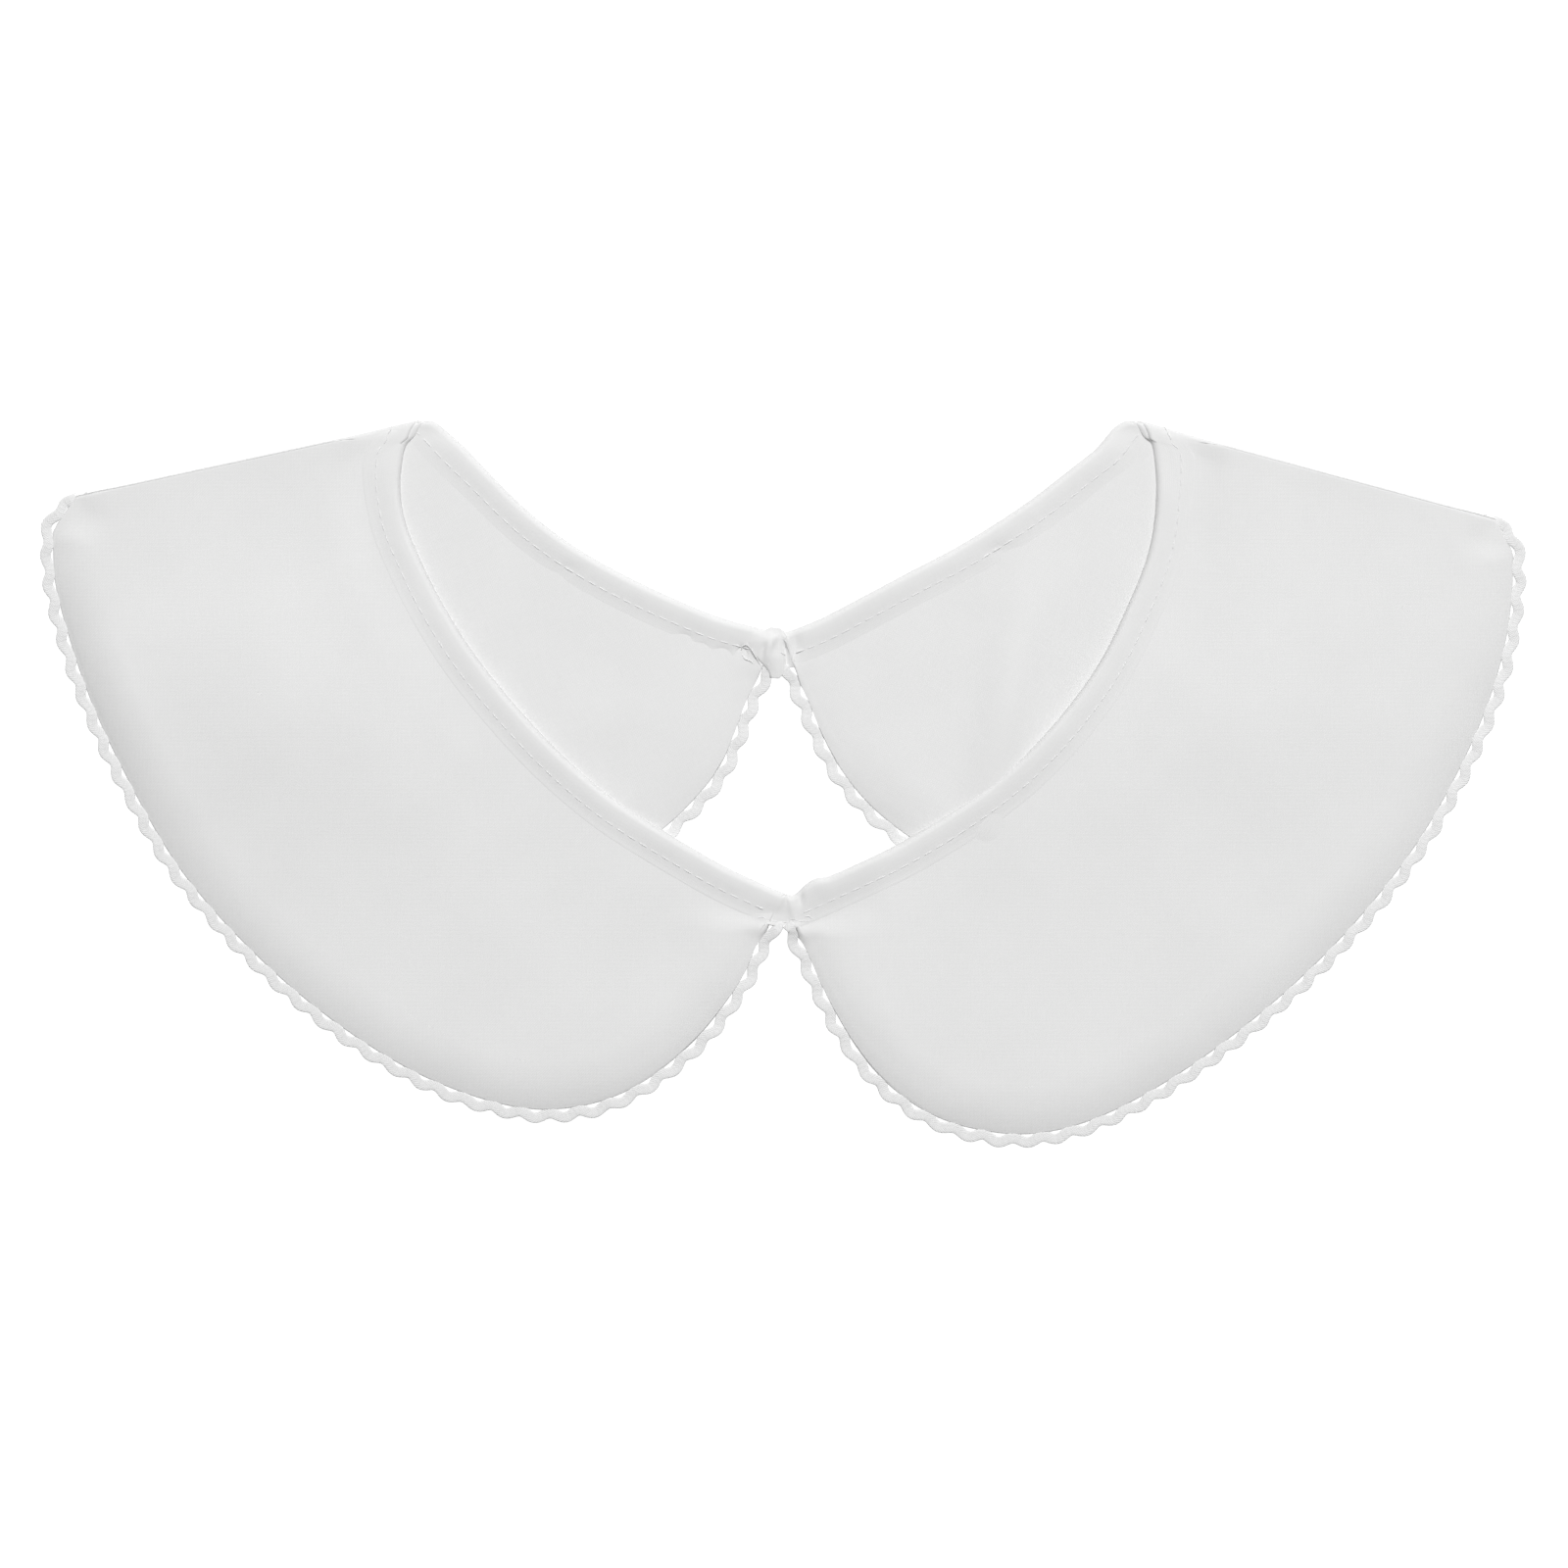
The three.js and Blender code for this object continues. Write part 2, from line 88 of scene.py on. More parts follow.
# Columns of the section tables: shares along the neckline, heading in degrees, depth and heights as shares
BACK_COLUMNS = ("across", "down", "heading", "depth")
FRONT_COLUMNS = BACK_COLUMNS + ("neck", "body", "edge")
LEFT = {
    "name": "left", "side": -1, "shoulder_x": 73.7, "slope": 12.2, "corner": 0.962, "flare": 0.45,
    "back": [
        (0.0, 1.0, 64.0, 0.154), (0.043, 0.982, 74.7, 0.243), (0.084, 0.963, 78.9, 0.372),
        (0.136, 0.94, 78.9, 0.486), (0.199, 0.905, 76.9, 0.613), (0.273, 0.853, 74.0, 0.744),
        (0.364, 0.784, 68.7, 0.876), (0.479, 0.687, 62.7, 0.985), (0.594, 0.572, 55.4, 1.02),
        (0.704, 0.43, 47.2, 1.01), (0.8, 0.274, 37.8, 0.988), (0.882, 0.131, 29.4, 0.985),
    ],
    "front": [
        (1.051, 0.055, 13.5, 0.982, 0.34, 0.58, 0.3), (1.065, 0.127, 15.9, 0.976, 0.3, 0.52, 0.18),
        (1.054, 0.205, 19.6, 0.967, 0.26, 0.44, 0.08), (1.016, 0.282, 25.4, 0.975, 0.24, 0.36, 0.0),
        (0.957, 0.375, 30.8, 0.98, 0.24, 0.3, 0.0), (0.863, 0.491, 36.0, 0.99, 0.24, 0.25, 0.0),
        (0.741, 0.607, 40.8, 0.98, 0.24, 0.22, 0.0), (0.609, 0.713, 46.5, 0.956, 0.24, 0.2, 0.0),
        (0.466, 0.804, 53.5, 0.918, 0.24, 0.2, 0.0), (0.342, 0.865, 60.7, 0.858, 0.24, 0.2, 0.0),
        (0.259, 0.903, 64.4, 0.784, 0.29, 0.22, 0.0), (0.183, 0.936, 67.0, 0.678, 0.17, 0.25, 0.0),
        (0.129, 0.957, 71.0, 0.53, 0.06, 0.28, 0.0), (0.089, 0.971, 75.0, 0.373, 0.0, 0.3, 0.0),
        (0.046, 0.986, 75.0, 0.22, 0.0, 0.27, 0.0), (0.0, 1.0, 61.0, 0.126, 0.0, 0.28, 0.06),
    ],
}
RIGHT = {
    "name": "right", "side": 1, "shoulder_x": 71.5, "slope": 15.2, "corner": 1.012, "flare": 0.45,
    "back": [
        (0.0, 1.0, 70.0, 0.15), (0.04, 0.977, 77.4, 0.257), (0.082, 0.95, 80.1, 0.374),
        (0.137, 0.908, 79.6, 0.51), (0.203, 0.85, 77.2, 0.649), (0.278, 0.784, 73.9, 0.782),
        (0.369, 0.704, 68.7, 0.916), (0.48, 0.609, 62.2, 1.01), (0.591, 0.499, 55.0, 1.045),
        (0.696, 0.384, 46.1, 1.039), (0.798, 0.255, 37.0, 1.025), (0.889, 0.136, 28.4, 1.021),
    ],
    "front": [
        (1.051, 0.049, 16.8, 1.022, 0.34, 0.58, 0.3), (1.062, 0.117, 17.4, 1.015, 0.3, 0.52, 0.18),
        (1.059, 0.2, 19.4, 1.012, 0.26, 0.44, 0.08), (1.036, 0.289, 22.5, 1.008, 0.24, 0.36, 0.0),
        (0.98, 0.392, 26.1, 1.005, 0.24, 0.3, 0.0), (0.899, 0.512, 30.0, 0.992, 0.24, 0.25, 0.0),
        (0.784, 0.628, 35.7, 0.975, 0.24, 0.22, 0.0), (0.651, 0.729, 42.6, 0.955, 0.24, 0.2, 0.0),
        (0.507, 0.81, 50.2, 0.94, 0.24, 0.2, 0.0), (0.386, 0.866, 57.4, 0.918, 0.24, 0.2, 0.0),
        (0.304, 0.9, 63.0, 0.874, 0.24, 0.2, 0.0), (0.237, 0.924, 67.6, 0.801, 0.29, 0.24, 0.0),
        (0.177, 0.944, 72.4, 0.698, 0.17, 0.27, 0.0), (0.124, 0.962, 77.4, 0.543, 0.06, 0.28, 0.0),
        (0.078, 0.977, 80.6, 0.364, 0.0, 0.3, 0.0), (0.042, 0.989, 81.5, 0.22, 0.0, 0.27, 0.0),
        (0.0, 1.0, 76.0, 0.12, 0.0, 0.28, 0.06),
    ],
}

# Soft waves of the resting cloth. The layer is 1 for the front and 0 for the back. The centre, the reach
# along and across, and the height are in millimetres, and the turn is in degrees.
WAVE_COLUMNS = ("front", "x", "y", "long", "wide", "turn", "height")
CLOTH_WAVES = [
    (0, 47.0, 26.0, 30.0, 5.5, 80.0, 2.4),
    (0, 24.0, 18.0, 26.0, 8.0, 80.0, 0.4),
    (0, -34.0, 14.0, 9.0, 6.0, 20.0, 0.4),
    (1, -84.0, 16.0, 55.0, 24.0, -6.0, 2.8),
    (1, -98.0, 44.0, 50.0, 20.0, -12.0, 0.5),
    (1, 56.0, 12.0, 50.0, 22.0, 8.0, 2.8),
    (1, 96.0, 38.0, 50.0, 20.0, 14.0, 0.5),
]
# The waves' share at the neckline and their full reach from it, and how they fade at the fold and the edge
NEAR_WAVES, WAVE_REACH, FOLD_FADE, EDGE_CALM = 0.32, 45.0, 34.0, 0.9


def ease(share):
    share = np.clip(share, 0.0, 1.0)
    return share * share * (3 - 2 * share)


def unit(vectors):
    return vectors / np.maximum(np.linalg.norm(vectors, axis=-1, keepdims=True), 1e-12)


def length_along(points):
    """How far each point of a line lies along it."""
    return np.concatenate([[0], np.cumsum(np.linalg.norm(np.diff(points, axis=0), axis=1))])


def smooth_between(knots, values, at):
    """Values on a smooth curve through uneven knots."""
    steps = np.diff(knots)
    slopes = np.diff(values, axis=0) / steps[:, None]
    tangents = np.empty_like(values)
    tangents[1:-1] = (values[2:] - values[:-2]) / (knots[2:] - knots[:-2])[:, None]
    tangents[0], tangents[-1] = slopes[0], slopes[-1]
    index = np.clip(np.searchsorted(knots, at, side="right") - 1, 0, len(knots) - 2)
    width = steps[index][:, None]
    s = ((at - knots[index]) / steps[index])[:, None]
    start, end = values[index], values[index + 1]
    rise_in, rise_out = tangents[index] * width, tangents[index + 1] * width
    return ((2 * s**3 - 3 * s**2 + 1) * start + (s**3 - 2 * s**2 + s) * rise_in
            + (3 * s**2 - 2 * s**3) * end + (s**3 - s**2) * rise_out)


def smooth_rows(rows):
    """The table's rows with one smooth row put in between each two."""
    rows = np.array(rows)
    last = len(rows) - 1
    smooth = []
    for i in range(last):
        p0, p1, p2, p3 = rows[max(i - 1, 0)], rows[i], rows[i + 1], rows[min(i + 2, last)]
        smooth += [p1, (p1 + p2) / 2 + ((p2 - p0) - (p3 - p1)) / 16]
    return smooth + [rows[last]]


class HalfCollar:
    """The middle surface of one half, from the back join round the shoulder fold to the front join.

    A place on it is (t, run): t along the neckline, run outwards from the binding's seat.
    """
    FIELDS = {"neck": slice(0, 3), "direction": slice(3, 5), "depth": 5, "body": 6, "edge": 7,
              "slant": 8, "turn": 9, "normal": slice(10, 13), "fold": 13}

    def __init__(self, table):
        self.name, self.side = table["name"], table["side"]
        slope = math.radians(table["slope"])
        self.apex = np.array([self.side * table["shoulder_x"], SHOULDER_Y])
        self.outward = np.array([self.side * math.cos(slope), -math.sin(slope)])
        self.square = np.array([-self.side * math.sin(slope), -math.cos(slope)])
        rows = [self.layer_row(row, BACK_COLUMNS, -1) for row in smooth_rows(table["back"])]
        self.fold_start = len(rows)
        for step in range(FOLD_STEPS + 1):
            rows.append(self.fold_row(table, math.pi * step / FOLD_STEPS))
        self.fold_end = len(rows) - 1
        rows += [self.layer_row(row, FRONT_COLUMNS, 1) for row in smooth_rows(table["front"])]
        controls = np.array(rows)
        self.seat_neck(controls)
        neck = controls[:, 0:3]
        outer = neck[:, :2] + controls[:, 3:5] * controls[:, 5:6]
        chord = (np.linalg.norm(np.diff(neck, axis=0), axis=1)
                 + np.linalg.norm(np.diff(outer, axis=0), axis=1)) / 2
        self.controls = controls
        self.knots = np.concatenate([[0], np.cumsum(np.maximum(chord, 0.2))])
        self.end = self.knots[-1]
        self.edge_lines = [self.edge_line(front) for front in (False, True)]

    def layer_row(self, row, columns, facing):
        value = dict(zip(columns, row))
        join_x, drop = (FRONT_JOIN_X, FRONT_DROP) if facing > 0 else (BACK_JOIN_X, BACK_DROP)
        join_x += self.side * JOIN_GAP / 2
        heading = math.radians(value["heading"])
        neck, body, edge = (max(value.get(key, 0.0), 0.0) for key in ("neck", "body", "edge"))
        return [join_x + (self.apex[0] - join_x) * value["across"], SHOULDER_Y - drop * value["down"],
                BINDING_REST + NECK_LIFT * neck, self.side * math.cos(heading), -math.sin(heading),
                PANEL_DEPTH * value["depth"], CLOTH_REST + CLOTH_LIFT * body + CROWN,
                CLOTH_REST + CLOTH_LIFT * edge,
                1.0, math.pi if facing > 0 else 0.0, 0.0, 0.0, facing, 0.0]

    def fold_row(self, table, turn):
        run = (FOLD_INSET + NECK_SETBACK) * FOLD_SPREAD * (2 * turn / math.pi - 1)
        lift = 1 - math.cos(turn)
        inside = FOLD_INSET + NECK_SETBACK * (1 - math.sin(turn))
        neck = self.apex + self.outward * (run - NECK_ADVANCE) + self.square * inside
        depth = PANEL_DEPTH * table["corner"] + (table["flare"] - 1) * run
        face = unit(np.array([math.sin(turn) / NECK_SETBACK, math.cos(turn) / NECK_RISE]))
        return [*neck, BINDING_REST + NECK_RISE * lift, *self.outward, depth,
                CLOTH_REST + BODY_RISE * lift, CLOTH_REST + EDGE_RISE * lift,
                1.0, turn, *(-self.square * face[0]), -face[1], 1.0]

    @staticmethod
    def seat_neck(controls):
        """Moves the neck in from the binding's outer edge to the edge of the cloth inside it."""
        neck, last = controls[:, 0:3].copy(), len(controls) - 1
        slant = np.ones(last + 1)
        for i in range(last + 1):
            along = unit(neck[min(i + 1, last)] - neck[max(i - 1, 0)])
            out = np.array([*controls[i, 3:5], 0.0])
            slant[i] = 1 / max(np.linalg.norm(np.cross(along, out)), LEAST_CROSSING)
        for i in range(last + 1):
            controls[i, 8] = slant[max(i - 2, 0):i + 3].mean()
        inset = BINDING_NOSE * controls[:, 8]
        controls[:, 0:2] += controls[:, 3:5] * inset[:, None]
        controls[:, 5] -= inset

    def edge_line(self, front):
        """The outer edge of one layer in plan, with its side at the join."""
        middle = (self.knots[self.fold_start] + self.knots[self.fold_end]) / 2
        state = self.state(np.linspace(*((middle, self.end) if front else (0.0, middle)), EDGE_SAMPLES))
        outer = state["neck"][:, :2] + state["direction"] * state["depth"][:, None]
        at = -1 if front else 0
        runs = np.linspace(state["depth"][at], BINDING_LEG * state["slant"][at], SIDE_SAMPLES)[:, None]
        side = state["neck"][at, :2] + state["direction"][at] * runs
        return np.concatenate([outer, side[1:]] if front else [side[:0:-1], outer])

    def edge_distance(self, plan, turn):
        """How far points lie from the outer edge of their own layer."""
        distance = np.empty(len(plan))
        for front, line in enumerate(self.edge_lines):
            chosen = (turn > math.pi / 2) == bool(front)
            start, span = line[:-1], np.diff(line, axis=0)
            offset = plan[chosen][:, None] - start
            share = np.clip((offset * span).sum(axis=2) / (span**2).sum(axis=1), 0, 1)
            distance[chosen] = np.linalg.norm(offset - share[..., None] * span, axis=2).min(axis=1)
        return distance

    def state(self, t):
        values = smooth_between(self.knots, self.controls, t)
        return {name: values[:, place] for name, place in self.FIELDS.items()}

    def middle(self, t, run):
        """Points of the cloth's middle, as it rests on the table."""
        state = self.state(t)
        plan = state["neck"][:, :2] + state["direction"] * run[:, None]
        roll = np.clip(1 - self.edge_distance(plan, state["turn"]) / RIM_WIDTH, 0, 1) ** 2
        bend = np.sin(state["turn"])
        shift = (1 - bend) * (CLOTH_SETBACK - NECK_SETBACK) + bend * (CLOTH_INSET - FOLD_INSET)
        plan = plan + self.square * (shift * state["fold"] * ease(run / SETBACK_REACH))[:, None]
        depth, neck = state["depth"], state["neck"][:, 2]
        bound = np.minimum(BINDING_LEG * state["slant"], depth * BOUND_SHARE)
        rise = np.minimum(RISE_WIDTH, depth * RISE_SHARE)
        height = neck + (state["body"] - neck) * ease((run - bound) / rise) + BODY_SWELL * ease(run / depth)
        roll = roll * ease((run - bound + ROLL_LEAD) / ROLL_REACH)
        height = height + (state["edge"] - height) * roll
        outward = NEAR_WAVES + (1 - NEAR_WAVES) * ease(run / WAVE_REACH)
        height = height + self.relief(plan, state) * outward * (1 - EDGE_CALM * roll)
        return np.column_stack([plan, height])

    def relief(self, plan, state):
        """Height of the soft waves at points of the plan."""
        front = ease(state["turn"] / math.pi)
        from_fold = (plan - self.apex) @ self.square - CLOTH_INSET - CLOTH_SETBACK
        fade = ease(from_fold / FOLD_FADE)
        total = np.zeros(len(plan))
        for row in CLOTH_WAVES:
            wave = dict(zip(WAVE_COLUMNS, row))
            angle = math.radians(wave["turn"])
            dx, dy = plan[:, 0] - wave["x"], plan[:, 1] - wave["y"]
            along = dx * math.cos(angle) + dy * math.sin(angle)
            across = -dx * math.sin(angle) + dy * math.cos(angle)
            share = front if wave["front"] else 1 - front
            total += share * wave["height"] * np.exp(-(along / wave["long"])**2 - (across / wave["wide"])**2)
        return total * fade

    def frames(self, t, run):
        """Points of the middle surface with unit vectors along the neckline, outwards and out of the face."""
        step = 0.06
        t, run = np.broadcast_arrays(np.asarray(t, float), np.asarray(run, float))
        t, run = t.ravel(), run.ravel()
        centre = np.clip(t, step, self.end - step)
        along = unit(self.middle(centre + step, run) - self.middle(centre - step, run))
        out = unit(self.middle(t, run + step) - self.middle(t, run - step))
        normal = unit(np.cross(along, out))
        facing = np.sign((normal * self.state(t)["normal"]).sum(axis=1))
        return self.middle(t, run), along, out, normal * np.where(facing == 0, 1, facing)[:, None]

    def cloth_place(self, points, t):
        """Where points of the cloth lie on its flat cut, with the grain along Y."""
        turn = self.state(t)["turn"]
        from_apex = points[:, :2] - self.apex
        beyond = np.maximum(from_apex @ self.square - CLOTH_INSET - CLOTH_SETBACK, 0)
        round_fold = BODY_RISE * (turn - math.pi / 2) + beyond * np.where(turn > math.pi / 2, 1, -1)
        flat = (from_apex @ self.outward)[:, None] * self.outward + round_fold[:, None] * self.square
        return np.column_stack([flat, np.zeros(len(flat))])

    def spaced(self, step, fold_step):
        """Values of t along the whole half, closer together round the fold."""
        start = self.knots[self.fold_start] - FOLD_MARGIN
        end = self.knots[self.fold_end] + FOLD_MARGIN
        parts = [(0, start, step), (start, end, fold_step), (end, self.end, step)]
        values = [np.linspace(low, high, max(int((high - low) / gap), 2), endpoint=False)
                  for low, high, gap in parts]
        return np.concatenate([*values, [self.end]])


def build_mesh(name, points, faces, places):
    """An object from points in millimetres; places are where the points lie on the flat cloth."""
    mesh = bpy.data.meshes.new(name)
    points = np.asarray(points, float) + SHIFT
    points[:, 2] = np.maximum(points[:, 2], LOWEST)
    mesh.from_pydata((points * MM).tolist(), [], faces)
    attribute = mesh.attributes.new("cloth_place", "FLOAT_VECTOR", "POINT")
    attribute.data.foreach_set("vector", np.asarray(places, np.float32).ravel())
    mesh.polygons.foreach_set("use_smooth", [True] * len(mesh.polygons))
    mesh.validate()
    mesh.update()
    piece = bpy.data.objects.new(name, mesh)
    bpy.context.scene.collection.objects.link(piece)
    return piece


def loft(rings, places):
    """Points, faces and places of a capped body through equal rings, whose points pair up from both ends."""
    rows, count = rings.shape[:2]
    index = np.arange(rows * count).reshape(rows, count)
    beside = np.roll(index, -1, axis=1)
    faces = np.stack([index[:-1], beside[:-1], beside[1:], index[1:]], axis=-1).reshape(-1, 4).tolist()
    for ring, flip in ((index[0], True), (index[-1], False)):
        for k in range(count // 2 - 1):
            quad = [ring[k], ring[k + 1], ring[count - 2 - k], ring[count - 1 - k]]
            faces.append([int(i) for i in (quad[::-1] if flip else quad)])
    return rings.reshape(-1, 3), faces, places.reshape(-1, 3)


def outward_faces(piece):
    """Turns the faces of a closed piece outwards."""
    mesh = piece.data
    mesh.calc_loop_triangles()
    corners = np.array([[mesh.vertices[i].co for i in tri.vertices] for tri in mesh.loop_triangles])
    volume = np.einsum("ij,ij->i", corners[:, 0], np.cross(corners[:, 1], corners[:, 2])).sum()
    if volume < 0:
        mesh.flip_normals()
    return piece


def join_parts(parts):
    """One list of points, faces and places out of several lofts."""
    points, faces, places, count = [], [], [], 0
    for part_points, part_faces, part_places in parts:
        points.append(part_points)
        places.append(part_places)
        faces += [[i + count for i in face] for face in part_faces]
        count += len(part_points)
    return np.concatenate(points), faces, np.concatenate(places)


# A thread's radius at its ends, as a share, and the length over which it is drawn in, in radii
THREAD_TAPER, TAPER_LENGTH = 0.25, 1.2


def tube(path, radius, sides=8):
    """A thread of round section along a path, drawn in at both ends."""
    path = np.asarray(path, float)
    tangent = unit(np.gradient(path, axis=0))
    helper = np.array([0.0, 0.0, 1.0]) if abs(tangent[0][2]) < 0.9 else np.array([1.0, 0.0, 0.0])
    normals = []
    for direction in tangent:
        helper = unit(helper - direction * (helper @ direction))
        normals.append(helper)
    normals = np.array(normals)
    side = np.cross(tangent, normals)
    length = length_along(path)
    from_end = np.minimum(length, length[-1] - length)
    width = radius * (THREAD_TAPER + (1 - THREAD_TAPER) * ease(from_end / (TAPER_LENGTH * radius)))
    angles = np.arange(sides) * 2 * math.pi / sides
    ring = (normals[:, None] * np.cos(angles)[None, :, None] + side[:, None] * np.sin(angles)[None, :, None])
    rings = path[:, None] + ring * width[:, None, None]
    places = np.stack(np.broadcast_arrays(length[:, None], (angles * radius)[None], 0.0), axis=-1)
    return loft(rings, places)


left, right = HalfCollar(LEFT), HalfCollar(RIGHT)

# The CAD model is centred on its footprint: its tab says how far it was moved
tab_low, tab_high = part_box("back_hook_tab")
tab_middle = (np.array(tab_low) + np.array(tab_high)) / 2 / MM
TAB_CENTRE = np.array([BACK_JOIN_X - TAB_SHIFT, SHOULDER_Y - BACK_DROP - TAB_LENGTH / 2 + TAB_RISE])
SHIFT = np.array([tab_middle[0] - TAB_CENTRE[0], tab_middle[1] - TAB_CENTRE[1], 0.0])


# Panels: spacing of the points along the neckline, shares of the depth where points lie, and the turned edge
PANEL_STEP, PANEL_FOLD_STEP = 1.0, 0.35
DEPTH_SHARES = np.concatenate([np.linspace(0, 0.86, 62, endpoint=False), np.linspace(0.86, 1.0, 15)])
SEAM_BLEND, TURNED_REACH, TURNED_ANGLES = 5.0, 0.8, [65, 40, 14, -14, -40, -65]


def panel_cloth(half):
    """One half-collar: two cloth layers turned out at a seam, thicker over the seam allowance."""
    t = half.spaced(PANEL_STEP, PANEL_FOLD_STEP)
    grid_t = np.repeat(t, len(DEPTH_SHARES))
    depth = np.repeat(half.state(t)["depth"], len(DEPTH_SHARES))
    run = depth * np.tile(DEPTH_SHARES, len(t))
    middle, _, out, normal = half.frames(grid_t, run)
    seam = ease((run - depth + SEAM_ALLOWANCE + SEAM_BLEND / 2) / SEAM_BLEND)
    thick = BODY_HALF + (SEAM_HALF - BODY_HALF) * seam
    shape = (len(t), len(DEPTH_SHARES), 3)
    face = (middle + normal * thick[:, None]).reshape(shape)
    back = (middle - normal * thick[:, None]).reshape(shape)
    edge_middle, edge_out, edge_normal = (a.reshape(shape)[:, -1] for a in (middle, out, normal))
    turned = []
    for angle in np.radians(TURNED_ANGLES):
        turned.append(edge_middle + edge_out * SEAM_HALF * TURNED_REACH * math.cos(angle)
                      + edge_normal * SEAM_HALF * math.sin(angle))
    rings = np.concatenate([face, np.stack(turned, axis=1), back[:, ::-1]], axis=1)
    ring_t = np.repeat(t, rings.shape[1])
    places = half.cloth_place(rings.reshape(-1, 3), ring_t).reshape(rings.shape)
    piece = build_mesh(f"{half.name}_panel_cloth", *loft(rings, places))
    return outward_faces(piece)


# Binding: spacing of its rings, and its machine stitches
BINDING_STEP, BINDING_FOLD_STEP = 0.68, 0.33
STITCH_RUN, STITCH_PITCH, STITCH_RADIUS, STITCH_SEAT, STITCH_ARCH = 3.35, 2.6, 0.12, 0.6, 0.08
STITCH_STEP, STITCH_FOLD_STEP = 0.5, 0.25
# Where a stitch's points lie along its pitch
STITCH_SHARES = np.array([0.08, 0.2, 0.35, 0.5, 0.65, 0.8, 0.92])
# Outer contour of the binding from its sewn edge to its nose: run, height above the cloth's middle
BINDING_CONTOUR = [
    (5.95, 0.27), (5.8, 0.34), (5.55, 0.37), (5.25, 0.4), (4.9, 0.43), (4.45, 0.48), (4.0, 0.53), (3.6, 0.58),
    (3.2, 0.62), (2.8, 0.66), (2.3, 0.71), (1.8, 0.76), (1.3, 0.8), (0.8, 0.83), (0.4, 0.84), (0.1, 0.84),
]
# The nose: where it starts, half its height, its roundness and how far its tip sinks
NOSE_START, NOSE_HALF, NOSE_POWER, NOSE_SINK = 0.1, 0.84, 2.0, 0.6
NOSE_ANGLES = [80, 68, 56, 44, 32, 20, 8]
# Thickness of the folded strip, and how far its inside reaches and opens
BINDING_FOLD, INNER_REACH, INNER_LEAST = 0.36, 5.6, 0.3
# The binding is fuller along the neckline than at the pressed fold, and fullest at its nose
FULL, FULL_LOSS, FULL_REACH, FULL_FROM, FULL_OVER = 1.3, 0.75, 12.0, 5.9, 5.0
# How far the front binding's nose comes down past the fold, and over what length
DROOP, DROOP_REACH = 0.3, 9.0
# Heights of its small relief: puffs, drag lines, dents at the stitches and the lip of the front's sewn edge
PUFF_HEIGHT, DRAG_HEIGHT, DENT_HEIGHT, LIP_HEIGHT = 0.06, 0.03, 0.04, 0.03
# The strips in which puffs, drag lines and dents lie, each with its middle and reach, and where the lip lies
RELIEF_STRIPS = [(1.0, 1.6), (2.4, 1.3), (STITCH_RUN, 0.55)]
LIP_FROM, LIP_OVER, DRAG_SLANT = 5.0, 0.5, 0.8
BINDING_PASSES = 12


def nose_points(reach, half):
    """The rounded end of the channel, from its widest place outwards."""
    power = 2 / NOSE_POWER
    turns = [math.radians(angle) for angle in NOSE_ANGLES]
    return [(NOSE_START - reach * math.cos(turn)**power, half * math.sin(turn)**power) for turn in turns]


def binding_profile():
    """The channel's outer and inner contours, top leg to bottom leg, with as many points each."""
    reach = NOSE_START + BINDING_NOSE
    top = BINDING_CONTOUR + nose_points(reach, NOSE_HALF)
    outer = top + [(r, -h) for r, h in reversed(top)]
    inner_top = [(min(r, INNER_REACH), max(h - BINDING_FOLD, INNER_LEAST)) for r, h in BINDING_CONTOUR]
    inner_top += nose_points(reach - BINDING_FOLD, NOSE_HALF - BINDING_FOLD)
    inner = inner_top + [(r, -h) for r, h in reversed(inner_top)]
    return np.array(outer + inner[::-1])


def soft_noise(seed, waves, shortest, longest):
    """A smooth wavy function of length, the same each run."""
    draw = random.Random(seed)
    terms = [(2 * math.pi / draw.uniform(shortest, longest), draw.uniform(0, 2 * math.pi))
             for _ in range(waves)]
    return lambda s: sum(np.sin(k * s + phase) for k, phase in terms) / waves


def fullness(half, t, run):
    """How full the binding is at a place, as a share of its section's height."""
    from_fold = t - (half.knots[half.fold_start] + half.knots[half.fold_end]) / 2
    share = FULL - FULL_LOSS * np.exp(-(from_fold / FULL_REACH)**2)
    return 1 + (share - 1) * ease((FULL_FROM - run) / FULL_OVER)


